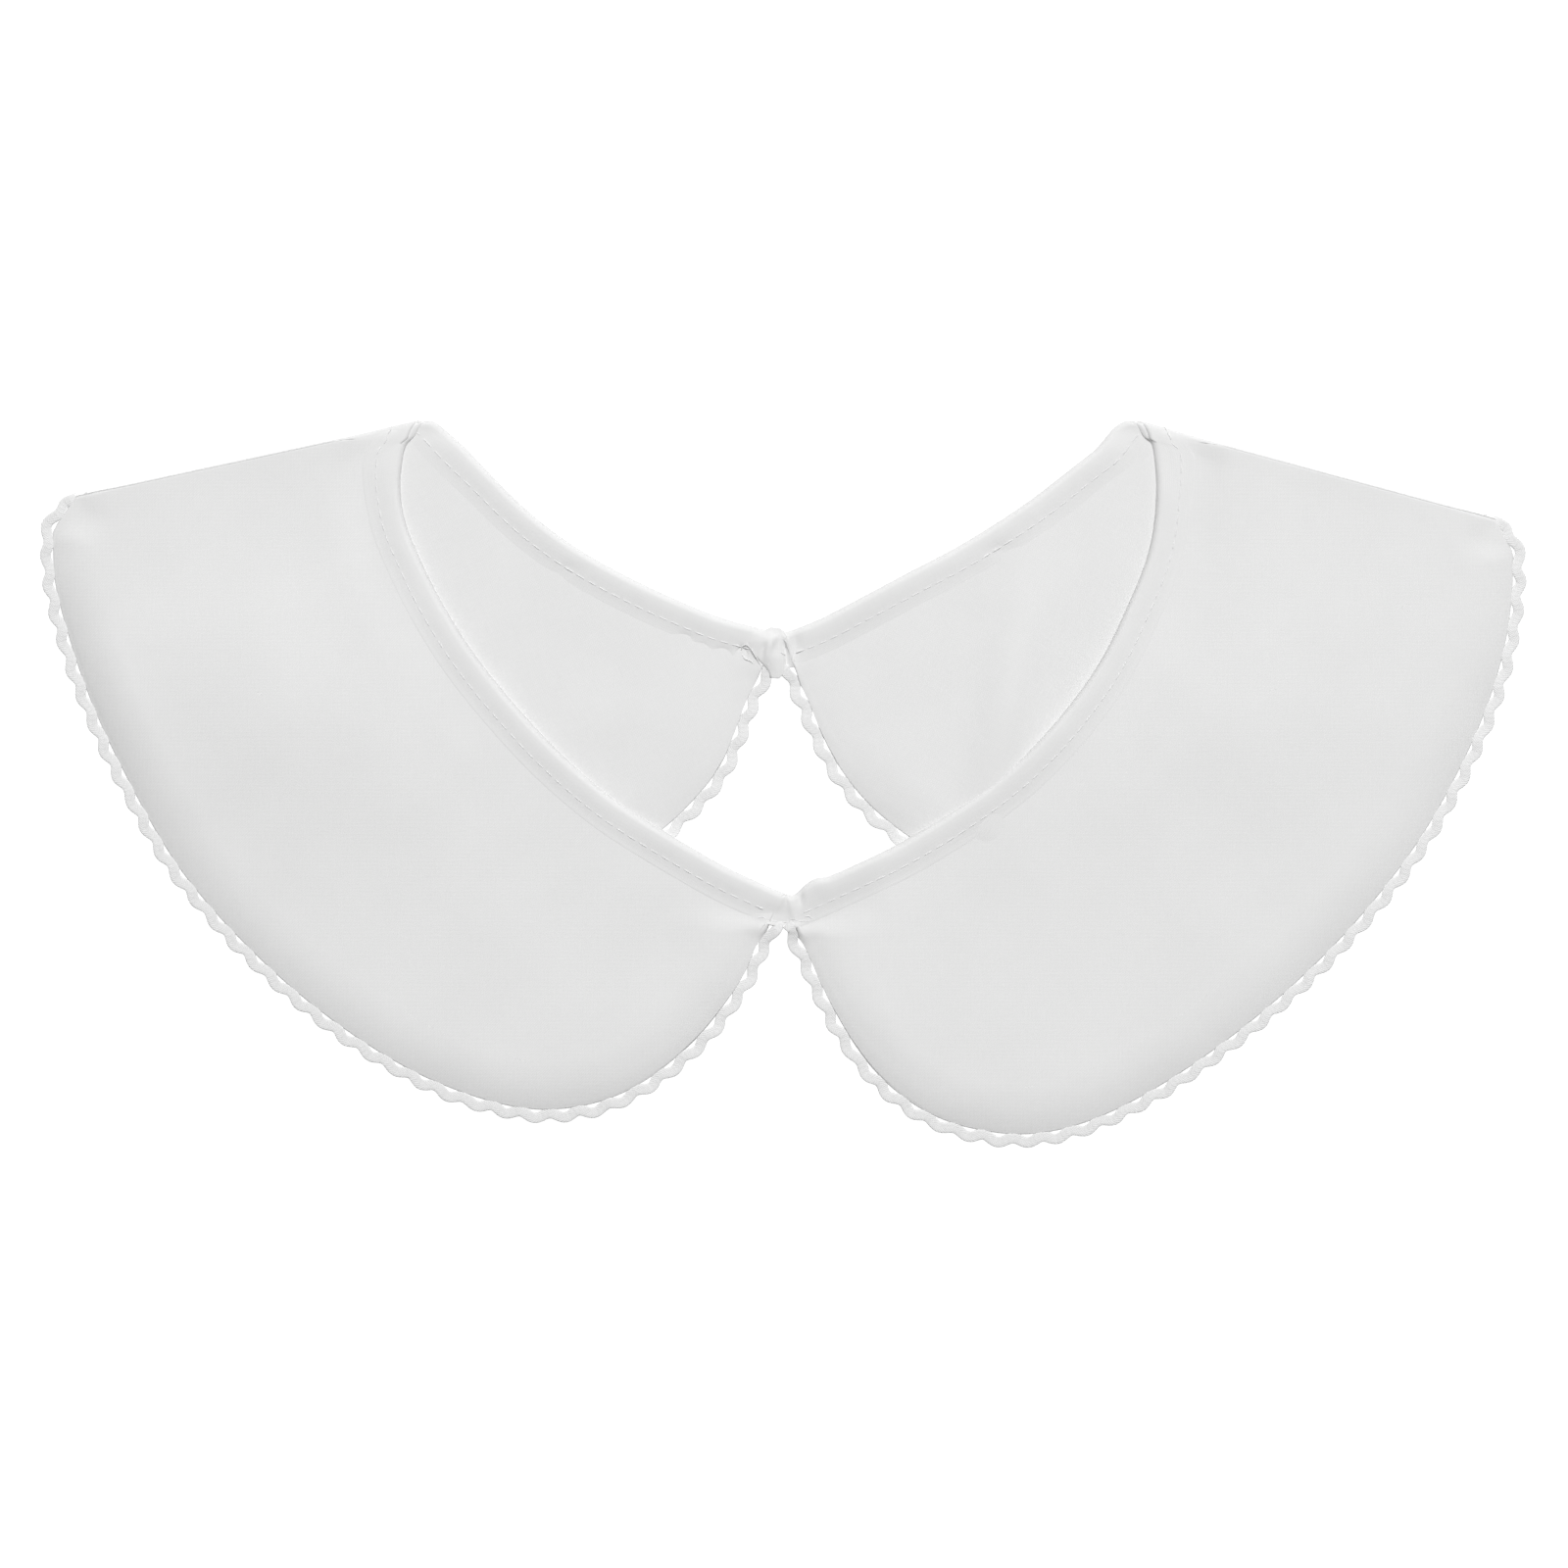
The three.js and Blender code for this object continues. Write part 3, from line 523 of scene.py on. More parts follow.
def binding_rings(half, profile):
    """Rings of the binding along one half, from the back join to the front join."""
    t = half.spaced(BINDING_STEP, BINDING_FOLD_STEP)
    state = half.state(t)
    neck = half.middle(t, np.zeros(len(t)))
    length = length_along(neck)
    puff = soft_noise(11 + half.side, 5, 7, 21)(length)
    drag = soft_noise(23 + half.side, 6, 2.6, 7.5)
    rings = []
    stitch = np.cos(2 * math.pi * length / STITCH_PITCH)
    upright = unit(state["normal"])
    front = ease(2 * state["turn"] / math.pi - 1)
    past = np.maximum(t - half.knots[half.fold_end], 0)
    droop = DROOP * front * np.exp(-(past / DROOP_REACH)**2)
    for run, height in profile:
        centre = half.middle(t, run * state["slant"])
        beyond = np.clip((NOSE_START - run) / (NOSE_START + BINDING_NOSE), 0, 1)
        sink = NOSE_SINK * (1 - (1 - beyond**NOSE_POWER)**(1 / NOSE_POWER))
        centre[:, 2] -= sink * np.abs(upright[:, 2]) + droop * ease((3.0 - run) / 3.5)
        puffed, dragged, near_stitch = (math.exp(-((run - at) / reach)**2) for at, reach in RELIEF_STRIPS)
        lip = front * ease((run - LIP_FROM) / LIP_OVER)
        extra = PUFF_HEIGHT * puff * puffed + DRAG_HEIGHT * drag(length + DRAG_SLANT * run) * dragged
        extra = extra + DENT_HEIGHT * stitch * near_stitch + LIP_HEIGHT * lip
        full = height * fullness(half, t, run)
        rings.append(centre + upright * (full + math.copysign(1, height) * extra)[:, None])
    return soften(np.stack(rings, axis=1), BINDING_PASSES)


# Small shapes of the binding at the joins: place in the photograph's pixels, reach across and down, and move
JOIN_COLUMNS = ("x", "y", "across", "down", "move_x", "move_y", "move_z")
JOIN_SHAPES = [
    (830, 903, 2.6, 2.2, 0.0, 0.9, 0.35),
    (811, 913, 1.3, 2.4, 0.0, -0.7, -0.3),
    (817, 916, 0.6, 1.6, 0.0, 0.0, -0.45),
    (788, 932, 3.2, 1.6, 0.0, 0.0, -0.3),
    (757, 666, 0.8, 1.1, 0.0, 0.0, -0.9),
    (811, 655, 1.3, 2.8, 0.0, 0.0, -0.5),
    (698, 650, 1.6, 0.9, 0.0, 0.0, -0.22),
    (714, 660, 1.5, 0.9, 0.0, 0.0, -0.22),
    (737, 665, 1.4, 0.9, 0.0, 0.0, -0.25),
    (584, 580, 3.0, 1.4, 0.0, 0.0, -0.12),
    (1020, 560, 3.4, 1.5, 0.0, 0.0, -0.14),
    (560, 590, 2.4, 1.2, 0.0, 0.0, -0.1),
]


def from_photo(x, y, z):
    """A place of the photograph, in its pixels, at a height in millimetres, before the model's shift."""
    return ((x - PHOTO_MIDDLE_X) * PHOTO_PIXEL, (PHOTO_MIDDLE_Y - y) * PHOTO_PIXEL, z)


def shape_joins(rings):
    """Presses and draws the binding's rings where the halves join and in a few places between."""
    moved = rings.copy()
    for row in JOIN_SHAPES:
        shape = dict(zip(JOIN_COLUMNS, row))
        centre = from_photo(shape["x"], shape["y"], 0.0)
        across = (rings[..., 0] - centre[0]) / shape["across"]
        down = (rings[..., 1] - centre[1]) / shape["down"]
        move = np.array([shape["move_x"], shape["move_y"], shape["move_z"]])
        moved += np.exp(-across**2 - down**2)[..., None] * move
    return moved


def neck_binding():
    """The bias binding round the whole neck edge, joined at the front."""
    profile = binding_profile()
    left_rings, right_rings = binding_rings(left, profile), binding_rings(right, profile)
    ends = left.frames([left.end], [0.0])[0][0], right.frames([right.end], [0.0])[0][0]
    centre = (ends[0] + ends[1]) / 2
    middle_ring = np.array([[centre[0], centre[1] - run, centre[2] + height] for run, height in profile])
    known = np.stack([left_rings[-4], left_rings[-1], middle_ring, right_rings[-1], right_rings[-4]])
    gaps = np.linalg.norm(np.diff(known.mean(axis=1), axis=0), axis=1)
    knots = np.concatenate([[0], np.cumsum(gaps)])
    between = np.linspace(knots[1], knots[3], 11)[1:-1]
    bridge = smooth_between(knots, known.reshape(len(known), -1), between).reshape(len(between), -1, 3)
    rings = shape_joins(np.concatenate([left_rings, bridge, right_rings[::-1]]))
    along = length_along(rings.mean(axis=1))
    across = length_along(profile)
    places = np.stack(np.broadcast_arrays(along[:, None], across[None], 0.0), axis=-1)
    return outward_faces(build_mesh("neckline_bias_binding", *loft(rings, places)))


def binding_stitches():
    """Machine stitches along the binding's sewn edge, on both faces."""
    parts = []
    for half in (left, right):
        t = half.spaced(STITCH_STEP, STITCH_FOLD_STEP)
        state = half.state(t)
        neck = half.middle(t, np.zeros(len(t)))
        length = length_along(neck)
        for number in range(1, int(length[-1] / STITCH_PITCH)):
            reach = STITCH_PITCH * (number + STITCH_SHARES - 0.5)
            at = np.interp(reach, length, t)
            slant = np.interp(at, t, state["slant"])
            centre, upright = half.middle(at, STITCH_RUN * slant), unit(half.state(at)["normal"])
            seat = STITCH_SEAT * fullness(half, at, STITCH_RUN) - STITCH_ARCH
            arch = seat + STITCH_ARCH * np.sin(np.linspace(0, math.pi, len(reach)))
            for face in (1, -1):
                parts.append(tube(centre + face * upright * arch[:, None], STITCH_RADIUS, sides=6))
    return build_mesh("binding_edge_stitches", *join_parts(parts))


# Wavy braid: spacing and points of the seam line, and how far its ends tuck under the binding
EDGE_STEP, EDGE_FOLD_STEP, LEG_POINTS, BACK_TUCK, FRONT_TUCK = 0.4, 0.2, 16, 0.8, 1.2


def sewn_edge(half):
    """Fine points along the seam of one half, with the directions out of the edge and out of the face."""
    t = half.spaced(EDGE_STEP, EDGE_FOLD_STEP)
    depths = half.state(t)["depth"]
    slants = half.state(t)["slant"]
    first_leg = np.linspace(BINDING_LEG * slants[0] - BACK_TUCK, depths[0], LEG_POINTS, endpoint=False)
    last_leg = np.linspace(depths[-1], BINDING_LEG * slants[-1] - FRONT_TUCK, LEG_POINTS)[1:]
    at_t = np.concatenate([np.full(LEG_POINTS, t[0]), t, np.full(LEG_POINTS - 1, t[-1])])
    at_run = np.concatenate([first_leg, depths, last_leg])
    return half.middle(at_t, at_run), unit(half.state(at_t)["normal"])


def resample(points, others, step):
    """The same line with its points a step apart, and the other values at those points."""
    length = length_along(points)
    at = np.linspace(0, length[-1], int(length[-1] / step))
    columns = [np.stack([np.interp(at, length, values[:, k]) for k in range(3)], axis=1)
               for values in (points, *others)]
    return at, columns


def soften(values, passes):
    """Rounds the corners of a row of points and keeps its ends."""
    values = values.copy()
    for _ in range(passes):
        values[1:-1] = (values[:-2] + 2 * values[1:-1] + values[2:]) / 4
    return values


# The braid's spacing and smoothing, and how far the fold draws it in and over what length
BRAID_STEP, BRAID_PASSES, FOLD_DRAW, DRAW_REACH = 0.3, 14, 0.75, 3.5
# How uneven it is: in phase, in swing as a share, in offset and in lift; and how its waves tip it
UNEVEN_PHASE, UNEVEN_SWING, UNEVEN_OFFSET, UNEVEN_LIFT = 0.22, 0.2, 0.1, 0.08
WAVE_LIFT, LIFT_PHASE, BRAID_REST = 0.1, 0.8, 0.08
# Its section's squareness, and its ribs' height as a share, pitch and slant
BRAID_POWER, RIB_HEIGHT, RIB_PITCH, RIB_SLANT = 0.45, 0.13, 0.9, 0.55
BRAID_ANGLES = [0, 22, 45, 68, 84, 96, 112, 135, 158, 180]


def braid_line(half):
    """Length along the edge, the braid's middle line, and the directions across it and out of its face."""
    points, normals = sewn_edge(half)
    length, (points, normals) = resample(points, [normals], BRAID_STEP)
    points, normals = soften(points, BRAID_PASSES), unit(soften(normals, BRAID_PASSES))
    along = unit(np.gradient(points, axis=0))
    outside = np.cross(normals, along)
    outside[:, 2] = 0
    outside = unit(soften(unit(outside), BRAID_PASSES)) * half.side
    at_fold = length[np.argmin(np.abs(normals[:, 2]))]
    near_fold = np.exp(-((length - at_fold) / DRAW_REACH)**2)[:, None]
    outside = unit(outside * (1 - near_fold) + np.array([*half.outward, 0.0]) * near_fold)
    waves = round(length[-1] / WAVE_PITCH)
    phase = 2 * math.pi * waves * (length - at_fold) / length[-1]
    phase = phase + UNEVEN_PHASE * soft_noise(31 + half.side, 5, 9, 40)(length)
    swing = WAVE_DEPTH * (1 + UNEVEN_SWING * soft_noise(41 + half.side, 4, 8, 25)(length))
    offset = WAVE_OFFSET + UNEVEN_OFFSET * soft_noise(51 + half.side, 4, 12, 40)(length)
    drawn = (offset - swing * np.cos(phase)) * (1 - FOLD_DRAW * near_fold[:, 0])
    centre = points + outside * drawn[:, None]
    uneven = UNEVEN_LIFT * soft_noise(61 + half.side, 5, 5, 16)(length)
    lift = WAVE_LIFT * np.sin(phase + LIFT_PHASE) + uneven
    centre = centre + normals * lift[:, None]
    forward = unit(np.gradient(centre, axis=0))
    return length, centre, unit(np.cross(normals, forward)) * half.side, normals


def wavy_braid(half):
    """The ric-rac of one half: a flat woven section with rounded sides, ribbed along its length."""
    length, centre, across, normals = braid_line(half)
    angles = np.radians(BRAID_ANGLES)
    angles = np.concatenate([angles, angles[1:-1] + math.pi])
    wide = np.sign(np.cos(angles)) * np.abs(np.cos(angles))**BRAID_POWER * BRAID_HALF_WIDTH
    high = np.sign(np.sin(angles)) * np.abs(np.sin(angles))**BRAID_POWER * BRAID_HALF_HEIGHT
    slanted = length[:, None] + RIB_SLANT * np.abs(wide)[None]
    rib = 1 + RIB_HEIGHT * np.sin(2 * math.pi * slanted / RIB_PITCH)
    rings = (centre[:, None] + across[:, None] * wide[None, :, None]
             + normals[:, None] * (high[None] * rib)[..., None])
    rings[..., 2] = np.maximum(rings[..., 2], BRAID_REST)
    places = np.stack(np.broadcast_arrays(length[:, None], wide[None], 0.0), axis=-1)
    return outward_faces(build_mesh(f"{half.name}_wavy_braid", *loft(rings, places)))


# Millimetres above the table, over every piece
ABOVE_ALL = 50


def height_over(pieces):
    """A function that tells how high the pieces reach at a place, in millimetres, or 0 beside them."""
    trees = [BVHTree.FromPolygons([point.co for point in piece.data.vertices],
                                  [list(face.vertices) for face in piece.data.polygons]) for piece in pieces]

    def height(x, y):
        start = Vector(((x + SHIFT[0]) * MM, (y + SHIFT[1]) * MM, ABOVE_ALL * MM))
        hits = [tree.ray_cast(start, Vector((0, 0, -1)))[0] for tree in trees]
        return max([hit.z / MM for hit in hits if hit is not None], default=0.0)
    return height


# Hook tab at the back join. Its borders are in millimetres from the point at its top left: the share down
# from 0 to 1, or across from -1 to 1, and the place.
TAB_LEFT = [(0, -5.2), (0.2, -5.9), (0.4, -5.4), (0.55, -4.2), (0.7, -2.8), (0.85, -1.6), (1, -1.0)]
TAB_RIGHT = [(0, 2.6), (0.2, 3.6), (0.5, 4.1), (0.8, 4.6), (1, 4.2)]
TAB_TOP = [(-1, -0.3), (-0.35, 0.1), (0.1, 1.1), (0.6, 0.9), (1, -0.2)]
TAB_BOTTOM = [(-1, 0.2), (-0.3, 0.0), (0.1, 0.9), (0.5, 2.2), (1, 2.4)]
TAB_DROP, TAB_ACROSS, TAB_DOWN = 9.4, 41, 49
# Least height beneath it, its thickness at the border, and the narrowing of its underside
TAB_FLOOR, TAB_THICKNESS, TAB_NARROWING = 1.3, 0.3, 0.985
TAB_PASSES = 8


def along_table(at, table):
    return np.interp(at, *zip(*table))


def hook_tab(height):
    """The rumpled end of the binding, folded over the hook and sewn down by hand."""
    u, v = np.meshgrid(np.linspace(-1, 1, TAB_ACROSS), np.linspace(0, 1, TAB_DOWN))
    left_border, right_border = along_table(v, TAB_LEFT), along_table(v, TAB_RIGHT)
    x = left_border + (right_border - left_border) * (u + 1) / 2
    top, bottom = along_table(u, TAB_TOP), along_table(u, TAB_BOTTOM)
    y = top + (-TAB_DROP + bottom - top) * v
    # Its crown, the slanting groove of its fold, the swell over the hook and the slit beside it
    crown = (1 - np.abs(u)**2.6) * (1 - np.abs(2 * v - 1)**3.5)
    groove = np.exp(-((x + 2.6 - 0.22 * (y + 5.0)) / 0.55)**2) * ease((-y - 1.2) / 2.0)
    swell = np.exp(-((x + 0.9) / 1.9)**2 - ((y + 3.6) / 3.4)**2)
    slit = np.exp(-((x - 1.9 + 0.1 * y) / 0.5)**2) * ease((-y - 0.6) / 2.5)
    centre = np.array([BACK_JOIN_X - 1.2, SHOULDER_Y - BACK_DROP + 0.15])
    beneath = [[height(centre[0] + across, centre[1] + down) for across, down in zip(*row)]
               for row in zip(x, y)]
    beneath = np.maximum(beneath, TAB_FLOOR)
    beneath = soften(soften(beneath, TAB_PASSES).T, TAB_PASSES).T
    # It dives into the cloth at its border and stands free of it in its lower half
    free = ease((-y - 3.4) / 2.0)
    border = ease((1 - np.abs(u)) / 0.22)
    face = (beneath - 0.12 + (0.2 + 0.15 * free) * border
            + crown * (0.3 + 0.6 * swell - 0.35 * groove - 0.5 * slit) - 0.15 * free * ease((x - 1.4) / 1.2))
    under = np.minimum(face - TAB_THICKNESS, beneath)
    top_grid = np.stack([centre[0] + x, centre[1] + y, face], axis=-1)
    low_grid = np.stack([centre[0] + x * TAB_NARROWING, centre[1] + y, under], axis=-1)
    rings = np.concatenate([top_grid, low_grid[:, ::-1]], axis=1)
    flat = np.stack([x, y, 0 * x], axis=-1)
    places = np.concatenate([flat, flat[:, ::-1]], axis=1)
    return outward_faces(build_mesh("back_tab_fold", *loft(rings, places)))


# Hand-sewn threads
HAND_THREAD_RADIUS, THREAD_POINTS, THREAD_PASSES = 0.11, 24, 6


def rounded_path(corners):
    """A smooth path through a few points."""
    corners = np.array(corners, float)
    knots = length_along(corners)
    return smooth_between(knots, corners, np.linspace(0, knots[-1], THREAD_POINTS))


def laid_thread(corners, height):
    """A thread laid over the cloth; its corners are places of the photograph and heights above the cloth."""
    path = rounded_path([from_photo(*corner) for corner in corners])
    path[:, 2] += soften(np.array([[height(x, y)] for x, y, _ in path]), THREAD_PASSES)[:, 0]
    path[:, 2] -= 0.5 * HAND_THREAD_RADIUS
    return tube(path, HAND_THREAD_RADIUS)


def sewn_threads(name, runs, height):
    """One piece of several laid threads."""
    return outward_faces(build_mesh(name, *join_parts([laid_thread(run, height) for run in runs])))


def back_threads(height):
    """Hand stitches and a loose loop of thread that hold the tab and the hook at the back join."""
    runs = [
        [(756, 664, 0.0), (758, 659, 0.3), (762, 658, 0.4), (766, 662, 0.35), (771, 670, 0.25),
         (777, 680, 0.0)],
        [(757, 667, 0.0), (760, 672, 0.2), (765, 674, 0.2), (770, 678, 0.0)],
        [(800, 646, 0.0), (803, 649, 0.1), (800, 652, 0.1), (803, 656, 0.1), (801, 661, 0.0)],
        [(809, 664, 0.0), (808, 671, 0.1), (809, 678, 0.0)],
        [(796, 665, 0.0), (799, 667, 0.1), (802, 669, 0.0)],
        [(784, 674, 0.0), (783, 680, 0.1), (782, 686, 0.0)],
    ]
    return sewn_threads("back_hand_threads", runs, height)


def front_threads(height):
    """The small bar of thread where the two halves meet at the front, and the loose end above it."""
    runs = [
        [(796, 915, 0.0), (799, 913, 0.15), (803, 913, 0.15), (806, 915, 0.0)],
        [(773, 937, 0.0), (778, 936, 0.05), (782, 938, 0.0)],
        [(784, 941, 0.0), (789, 940, 0.05), (794, 941, 0.0)],
        [(793, 942, 0.0), (799, 941, 0.05), (806, 942, 0.0)],
        [(805, 939, 0.0), (810, 938, 0.05), (814, 940, 0.0)],
        [(812, 941, 0.0), (819, 940, 0.05), (826, 940, 0.0)],
        [(821, 936, 0.0), (825, 935, 0.1), (829, 938, 0.0)],
    ]
    return sewn_threads("front_bar_tack", runs, height)


panels = {half.name: panel_cloth(half) for half in (left, right)}
braids = {half.name: wavy_braid(half) for half in (left, right)}
binding = neck_binding()
stitches = binding_stitches()
tab = hook_tab(height_over([binding, *panels.values()]))
over_cloth = height_over([binding, tab, *panels.values()])
back_thread = back_threads(over_cloth)
front_thread = front_threads(over_cloth)


# Materials
class Nodes:
    """Short ways to add and join the nodes of one material."""

    def __init__(self, name):
        self.material = bpy.data.materials.new(name)
        self.material.use_nodes = True
        self.tree = self.material.node_tree
        self.shader = self.tree.nodes["Principled BSDF"]

    def add(self, kind, inputs=(), **settings):
        node = self.tree.nodes.new(kind)
        for key, value in settings.items():
            setattr(node, key, value)
        for key, value in dict(inputs).items():
            if isinstance(value, bpy.types.NodeSocket):
                self.tree.links.new(value, node.inputs[key])
            else:
                node.inputs[key].default_value = value
        return node

    def math(self, operation, first, second=0.0):
        return self.add("ShaderNodeMath", {0: first, 1: second}, operation=operation).outputs[0]

    def into(self, socket, value):
        if isinstance(value, bpy.types.NodeSocket):
            self.tree.links.new(value, self.shader.inputs[socket])
        else:
            self.shader.inputs[socket].default_value = value

    def place(self):
        """Where a point lies on the flat cloth, in millimetres."""
        return self.add("ShaderNodeAttribute", attribute_name="cloth_place").outputs["Vector"]

    def split(self, vector):
        return self.add("ShaderNodeSeparateXYZ", {0: vector}).outputs[:2]

    def wave(self, value, length):
        return self.math("SINE", self.math("MULTIPLY", value, 2 * math.pi / length))

    def noise(self, place, scale, detail):
        return self.add("ShaderNodeTexNoise", {"Vector": place, "Scale": scale, "Detail": detail}).outputs[0]

    def span(self, value, low, high, first, last):
        """The value, with its range from low to high carried to first to last."""
        return self.add("ShaderNodeMapRange", {0: value, 1: low, 2: high, 3: first, 4: last}).outputs[0]

    def grey(self, value, blue=None):
        colour = self.add("ShaderNodeCombineColor", {0: value, 1: value, 2: value if blue is None else blue})
        self.into("Base Color", colour.outputs[0])

    def bump(self, height, strength, distance):
        node = self.add("ShaderNodeBump", {"Height": height, "Strength": strength, "Distance": distance * MM})
        self.into("Normal", node.outputs[0])


def woven_cotton(name, tone, pitch, grain, roughness, sheen, relief):
    """White plain-weave cotton, its threads laid out on the flat cloth."""
    nodes = Nodes(name)
    place = nodes.place()
    turned = nodes.add("ShaderNodeMapping", {
        "Vector": place, "Rotation": (0, 0, math.radians(grain)), "Scale": (1 / pitch,) * 3}).outputs[0]
    warp, weft = (nodes.wave(value, 2.0) for value in nodes.split(turned))
    warp_crown, weft_crown = nodes.math("ABSOLUTE", warp), nodes.math("ABSOLUTE", weft)
    over = nodes.math("GREATER_THAN", nodes.math("MULTIPLY", warp, weft), 0.0)
    thread = nodes.add("ShaderNodeMix", {0: over, 2: weft_crown, 3: warp_crown}).outputs[0]
    # Slubs are drawn out along each thread direction, and clouds are soft patches of tone
    slubs = []
    for stretch in ((6.0, 0.35, 1.0), (0.35, 6.0, 1.0)):
        stretched = nodes.add("ShaderNodeMapping", {"Vector": place, "Scale": stretch}).outputs[0]
        slubs.append(nodes.noise(stretched, 0.6, 2.0))
    slub = nodes.math("MULTIPLY", nodes.math("ADD", *slubs), 0.5)
    cloud = nodes.noise(place, 0.045, 3.0)
    shade = nodes.math("ADD", nodes.math("MULTIPLY", slub, 0.5), nodes.math("MULTIPLY", cloud, 0.5))
    lightness = nodes.span(shade, 0.3, 0.7, tone * 0.965, tone * 1.03)
    # Painted shade: the cloth is a little darker in the gaps between the threads, where the weave's bump is
    # lowest
    gap = nodes.span(thread, 0.0, 0.45, 0.965, 1.0)
    value = nodes.math("MULTIPLY", lightness, gap)
    nodes.grey(value, nodes.math("MULTIPLY", value, 0.998))
    nodes.into("Roughness", nodes.span(shade, 0.3, 0.7, roughness - 0.05, roughness + 0.05))
    nodes.into("Sheen Weight", sheen)
    nodes.into("Sheen Roughness", 0.55)
    nodes.into("Specular IOR Level", 0.25)
    nodes.bump(nodes.math("ADD", thread, nodes.math("MULTIPLY", slub, 0.8)), relief, 0.05)
    return nodes.material


# Slant of the braid's fine ribs, and the width of a rib and of a yarn in millimetres
BRAID_SLANT, BRAID_RIB, BRAID_YARN = 0.9, 0.45, 0.28


def braided_cotton(name, tone):
    """Fine cotton braid with slanting ribs that meet along its middle."""
    nodes = Nodes(name)
    place = nodes.place()
    along, across = nodes.split(place)
    slant = nodes.math("MULTIPLY", nodes.math("ABSOLUTE", across), BRAID_SLANT)
    rib = nodes.wave(nodes.math("ADD", along, slant), BRAID_RIB)
    yarn = nodes.wave(across, BRAID_YARN)
    noise = nodes.noise(place, 1.6, 3.0)
    relief = nodes.math("ADD", rib, nodes.math("MULTIPLY", yarn, 0.5))
    # The tone is partly random and partly painted shade: a little darker in the hollows of the ribs and
    # yarns, as the relief drives the colour
    shade = nodes.math("ADD", nodes.math("MULTIPLY", relief, 0.05), noise)
    nodes.grey(nodes.span(shade, 0.25, 0.75, tone * 0.95, tone * 1.03))
    nodes.into("Roughness", nodes.span(noise, 0.3, 0.7, 0.62, 0.78))
    nodes.into("Sheen Weight", 0.12)
    nodes.into("Sheen Roughness", 0.5)
    nodes.into("Specular IOR Level", 0.3)
    nodes.bump(relief, 0.5, 0.04)
    return nodes.material


# Turns of the plies, in radians for each millimetre along the thread and around it
PLY_TURNS = (9.0, 12.0)


def twisted_thread(name, tone):
    """Sewing thread of two plies, twisted."""
    nodes = Nodes(name)
    along, around = nodes.split(nodes.place())
    twist = nodes.math("ADD", *(nodes.math("MULTIPLY", value, turns)
                                for value, turns in zip((along, around), PLY_TURNS)))
    ply = nodes.math("SINE", twist)
    # Painted shade: the thread is darker between its plies, where the bump is lowest
    nodes.grey(nodes.span(ply, -1.0, 1.0, tone * 0.93, tone * 1.03))
    nodes.into("Roughness", nodes.span(ply, -1.0, 1.0, 0.65, 0.5))
    nodes.into("Sheen Weight", 0.1)
    nodes.bump(ply, 0.4, 0.03)
    return nodes.material


CLOTH_TONE, BRAID_TONE, THREAD_TONE = 0.788, 0.82, 0.84
# Threads' pitch in millimetres, height of the weave, and the angle of the bias
WEAVE_PITCH, WEAVE_RELIEF, BIAS = 0.27, 0.35, 45.0
panel_cotton = woven_cotton("panel_cotton", CLOTH_TONE, WEAVE_PITCH, 0.0, 0.86, 0.05, WEAVE_RELIEF)
bias_cotton = woven_cotton("bias_cotton", CLOTH_TONE, WEAVE_PITCH, BIAS, 0.84, 0.03, WEAVE_RELIEF)
braid_cotton = braided_cotton("braid_cotton", BRAID_TONE)
thread_cotton = twisted_thread("thread_cotton", THREAD_TONE)


def dress(piece, material, slot, *nodes):
    """Gives a piece its material and body, and hides the solids that it stands for."""
    piece.data.materials.append(material)
    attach(piece, "root")
    if nodes:
        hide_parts(*nodes)


for side, piece in panels.items():
    dress(piece, panel_cotton, "collar_cotton", f"{side}_panel")
for side, piece in braids.items():
    dress(piece, braid_cotton, "wave_trim", f"{side}_wave_trim")
dress(binding, bias_cotton, "bias_binding", "neckline_binding")
dress(tab, bias_cotton, "bias_binding", "back_hook_tab")
for piece in (stitches, back_thread, front_thread):
    dress(piece, thread_cotton, "bias_binding")

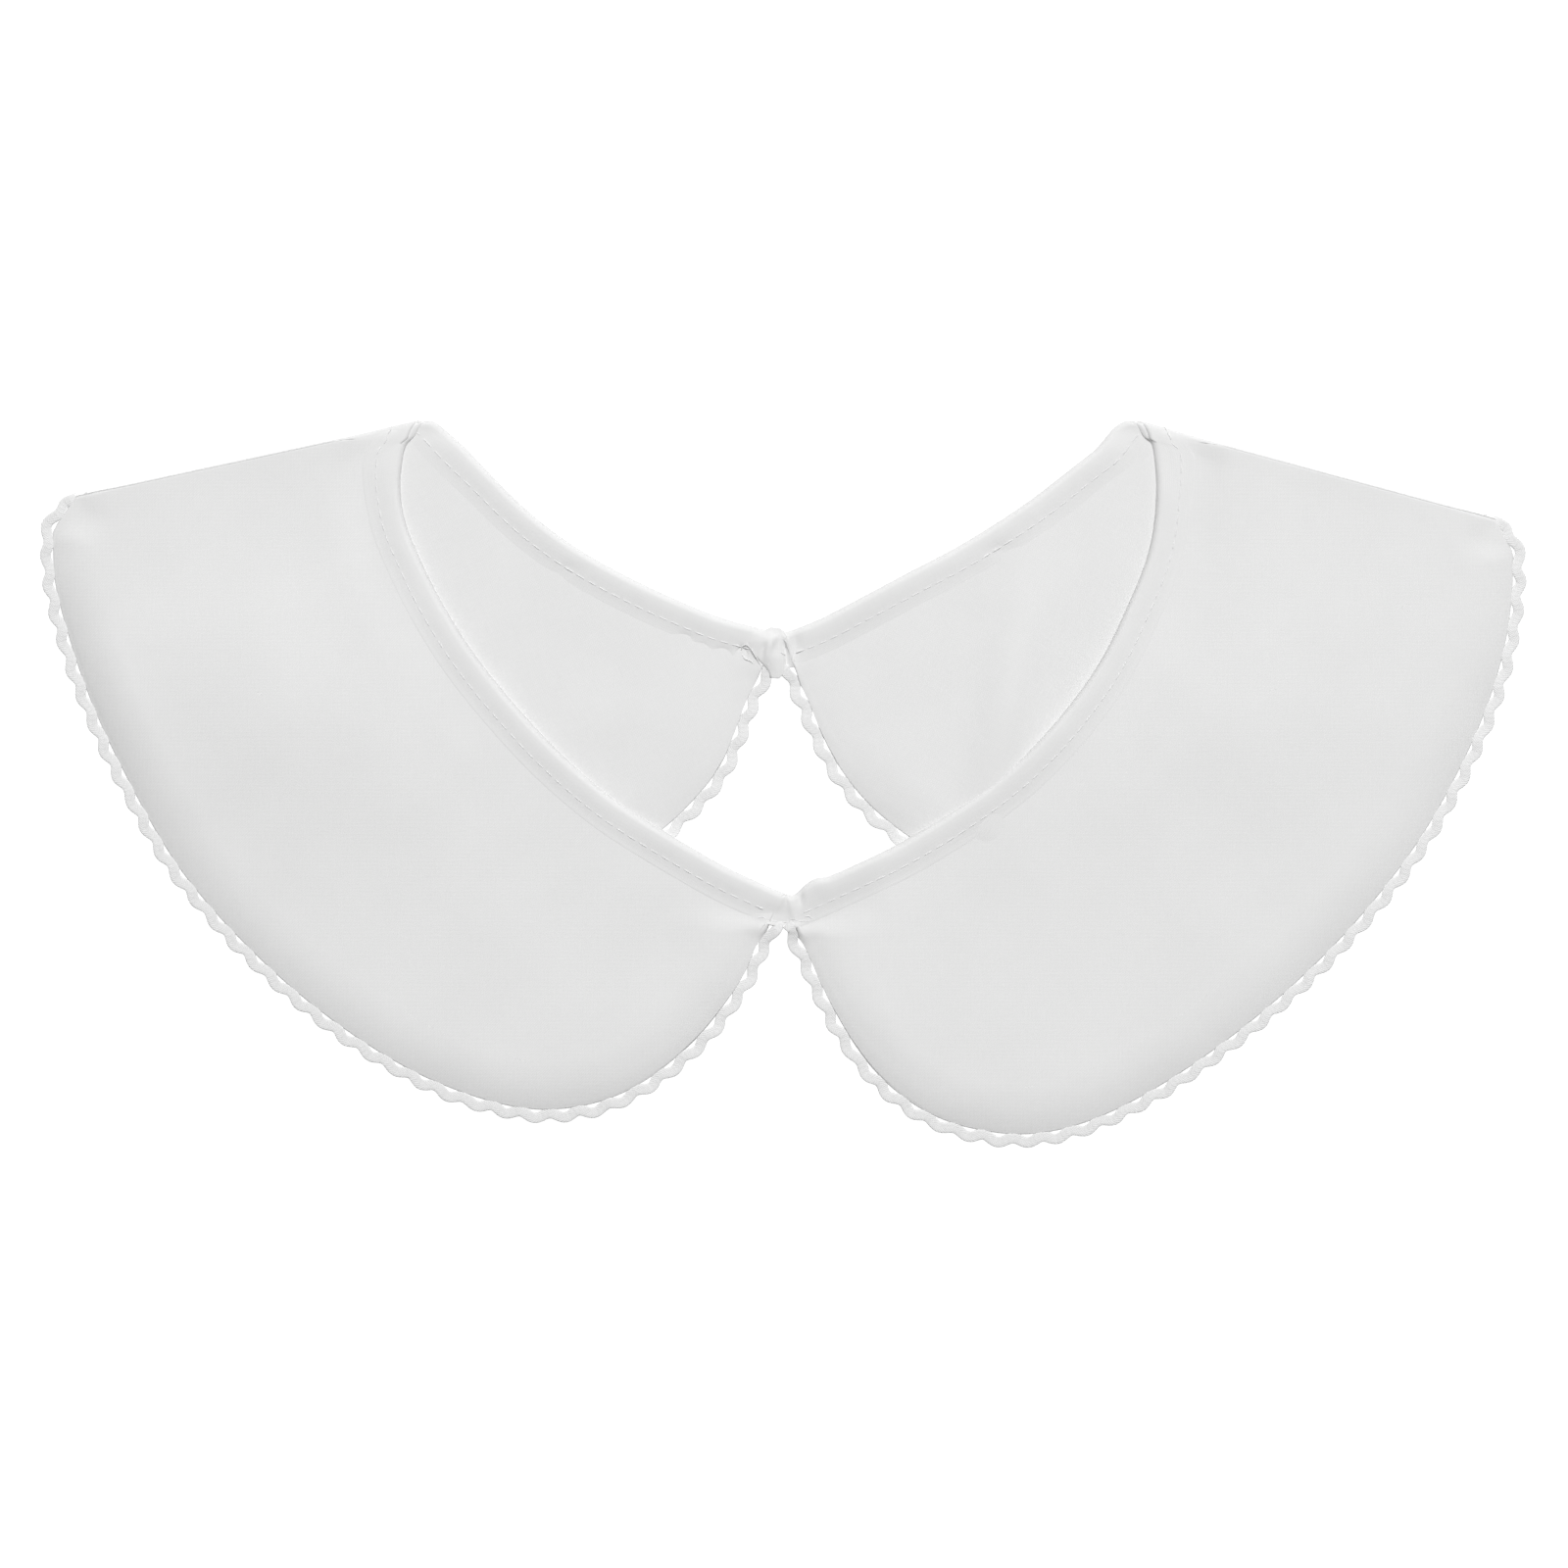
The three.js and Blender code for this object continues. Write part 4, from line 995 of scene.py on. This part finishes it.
# Stage: a pale floor, a large soft light from the top of the picture and an even sky, in metres and watts
FLOOR_REACH, FLOOR_TONE, FLOOR_GLOW = 2.5, 0.2, 0.93
KEY_PLACE, KEY_SIZE, KEY_POWER, SKY_STRENGTH = (0.3, 1.25, 2.45), 1.8, 82.0, 0.16
floor_mesh = bpy.data.meshes.new("floor")
floor_mesh.from_pydata([(-FLOOR_REACH, -FLOOR_REACH, 0), (FLOOR_REACH, -FLOOR_REACH, 0),
                        (FLOOR_REACH, FLOOR_REACH, 0), (-FLOOR_REACH, FLOOR_REACH, 0)], [], [(0, 1, 2, 3)])
floor = bpy.data.objects.new("floor", floor_mesh)
bpy.context.scene.collection.objects.link(floor)
pale = Nodes("pale_floor")
pale.into("Base Color", (FLOOR_TONE,) * 3 + (1,))
pale.into("Roughness", 0.9)
pale.into("Emission Color", (1, 1, 1, 1))
pale.into("Emission Strength", FLOOR_GLOW)
floor.data.materials.append(pale.material)


key_data = bpy.data.lights.new("key_softbox", "AREA")
key_data.shape, key_data.size, key_data.size_y, key_data.energy = "RECTANGLE", KEY_SIZE, KEY_SIZE, KEY_POWER
key_light = bpy.data.objects.new("key_softbox", key_data)
key_light.location = KEY_PLACE
key_light.rotation_euler = (-Vector(KEY_PLACE)).to_track_quat("-Z", "Y").to_euler()
bpy.context.scene.collection.objects.link(key_light)
world = bpy.data.worlds.new("sky")
world.use_nodes = True
world.node_tree.nodes["Background"].inputs[0].default_value = (1, 1, 1, 1)
world.node_tree.nodes["Background"].inputs[1].default_value = SKY_STRENGTH
bpy.context.scene.world = world
bpy.context.scene.view_settings.view_transform = "Standard"

# Camera: straight down, its frame 320 mm wide at the height of the cloth
FRAME_WIDTH, CAMERA_HEIGHT, CLOTH_HEIGHT, SENSOR = 0.320, 1.6, 0.004, 36.0
PICTURE_MIDDLE = (-0.1, 0.0)
camera_data = bpy.data.cameras.new("camera")
camera_data.sensor_width = SENSOR
camera_data.lens = SENSOR * (CAMERA_HEIGHT - CLOTH_HEIGHT) / FRAME_WIDTH
camera = bpy.data.objects.new("camera", camera_data)
camera.location = ((PICTURE_MIDDLE[0] + SHIFT[0]) * MM, (PICTURE_MIDDLE[1] + SHIFT[1]) * MM, CAMERA_HEIGHT)
bpy.context.scene.collection.objects.link(camera)
bpy.context.scene.camera = camera
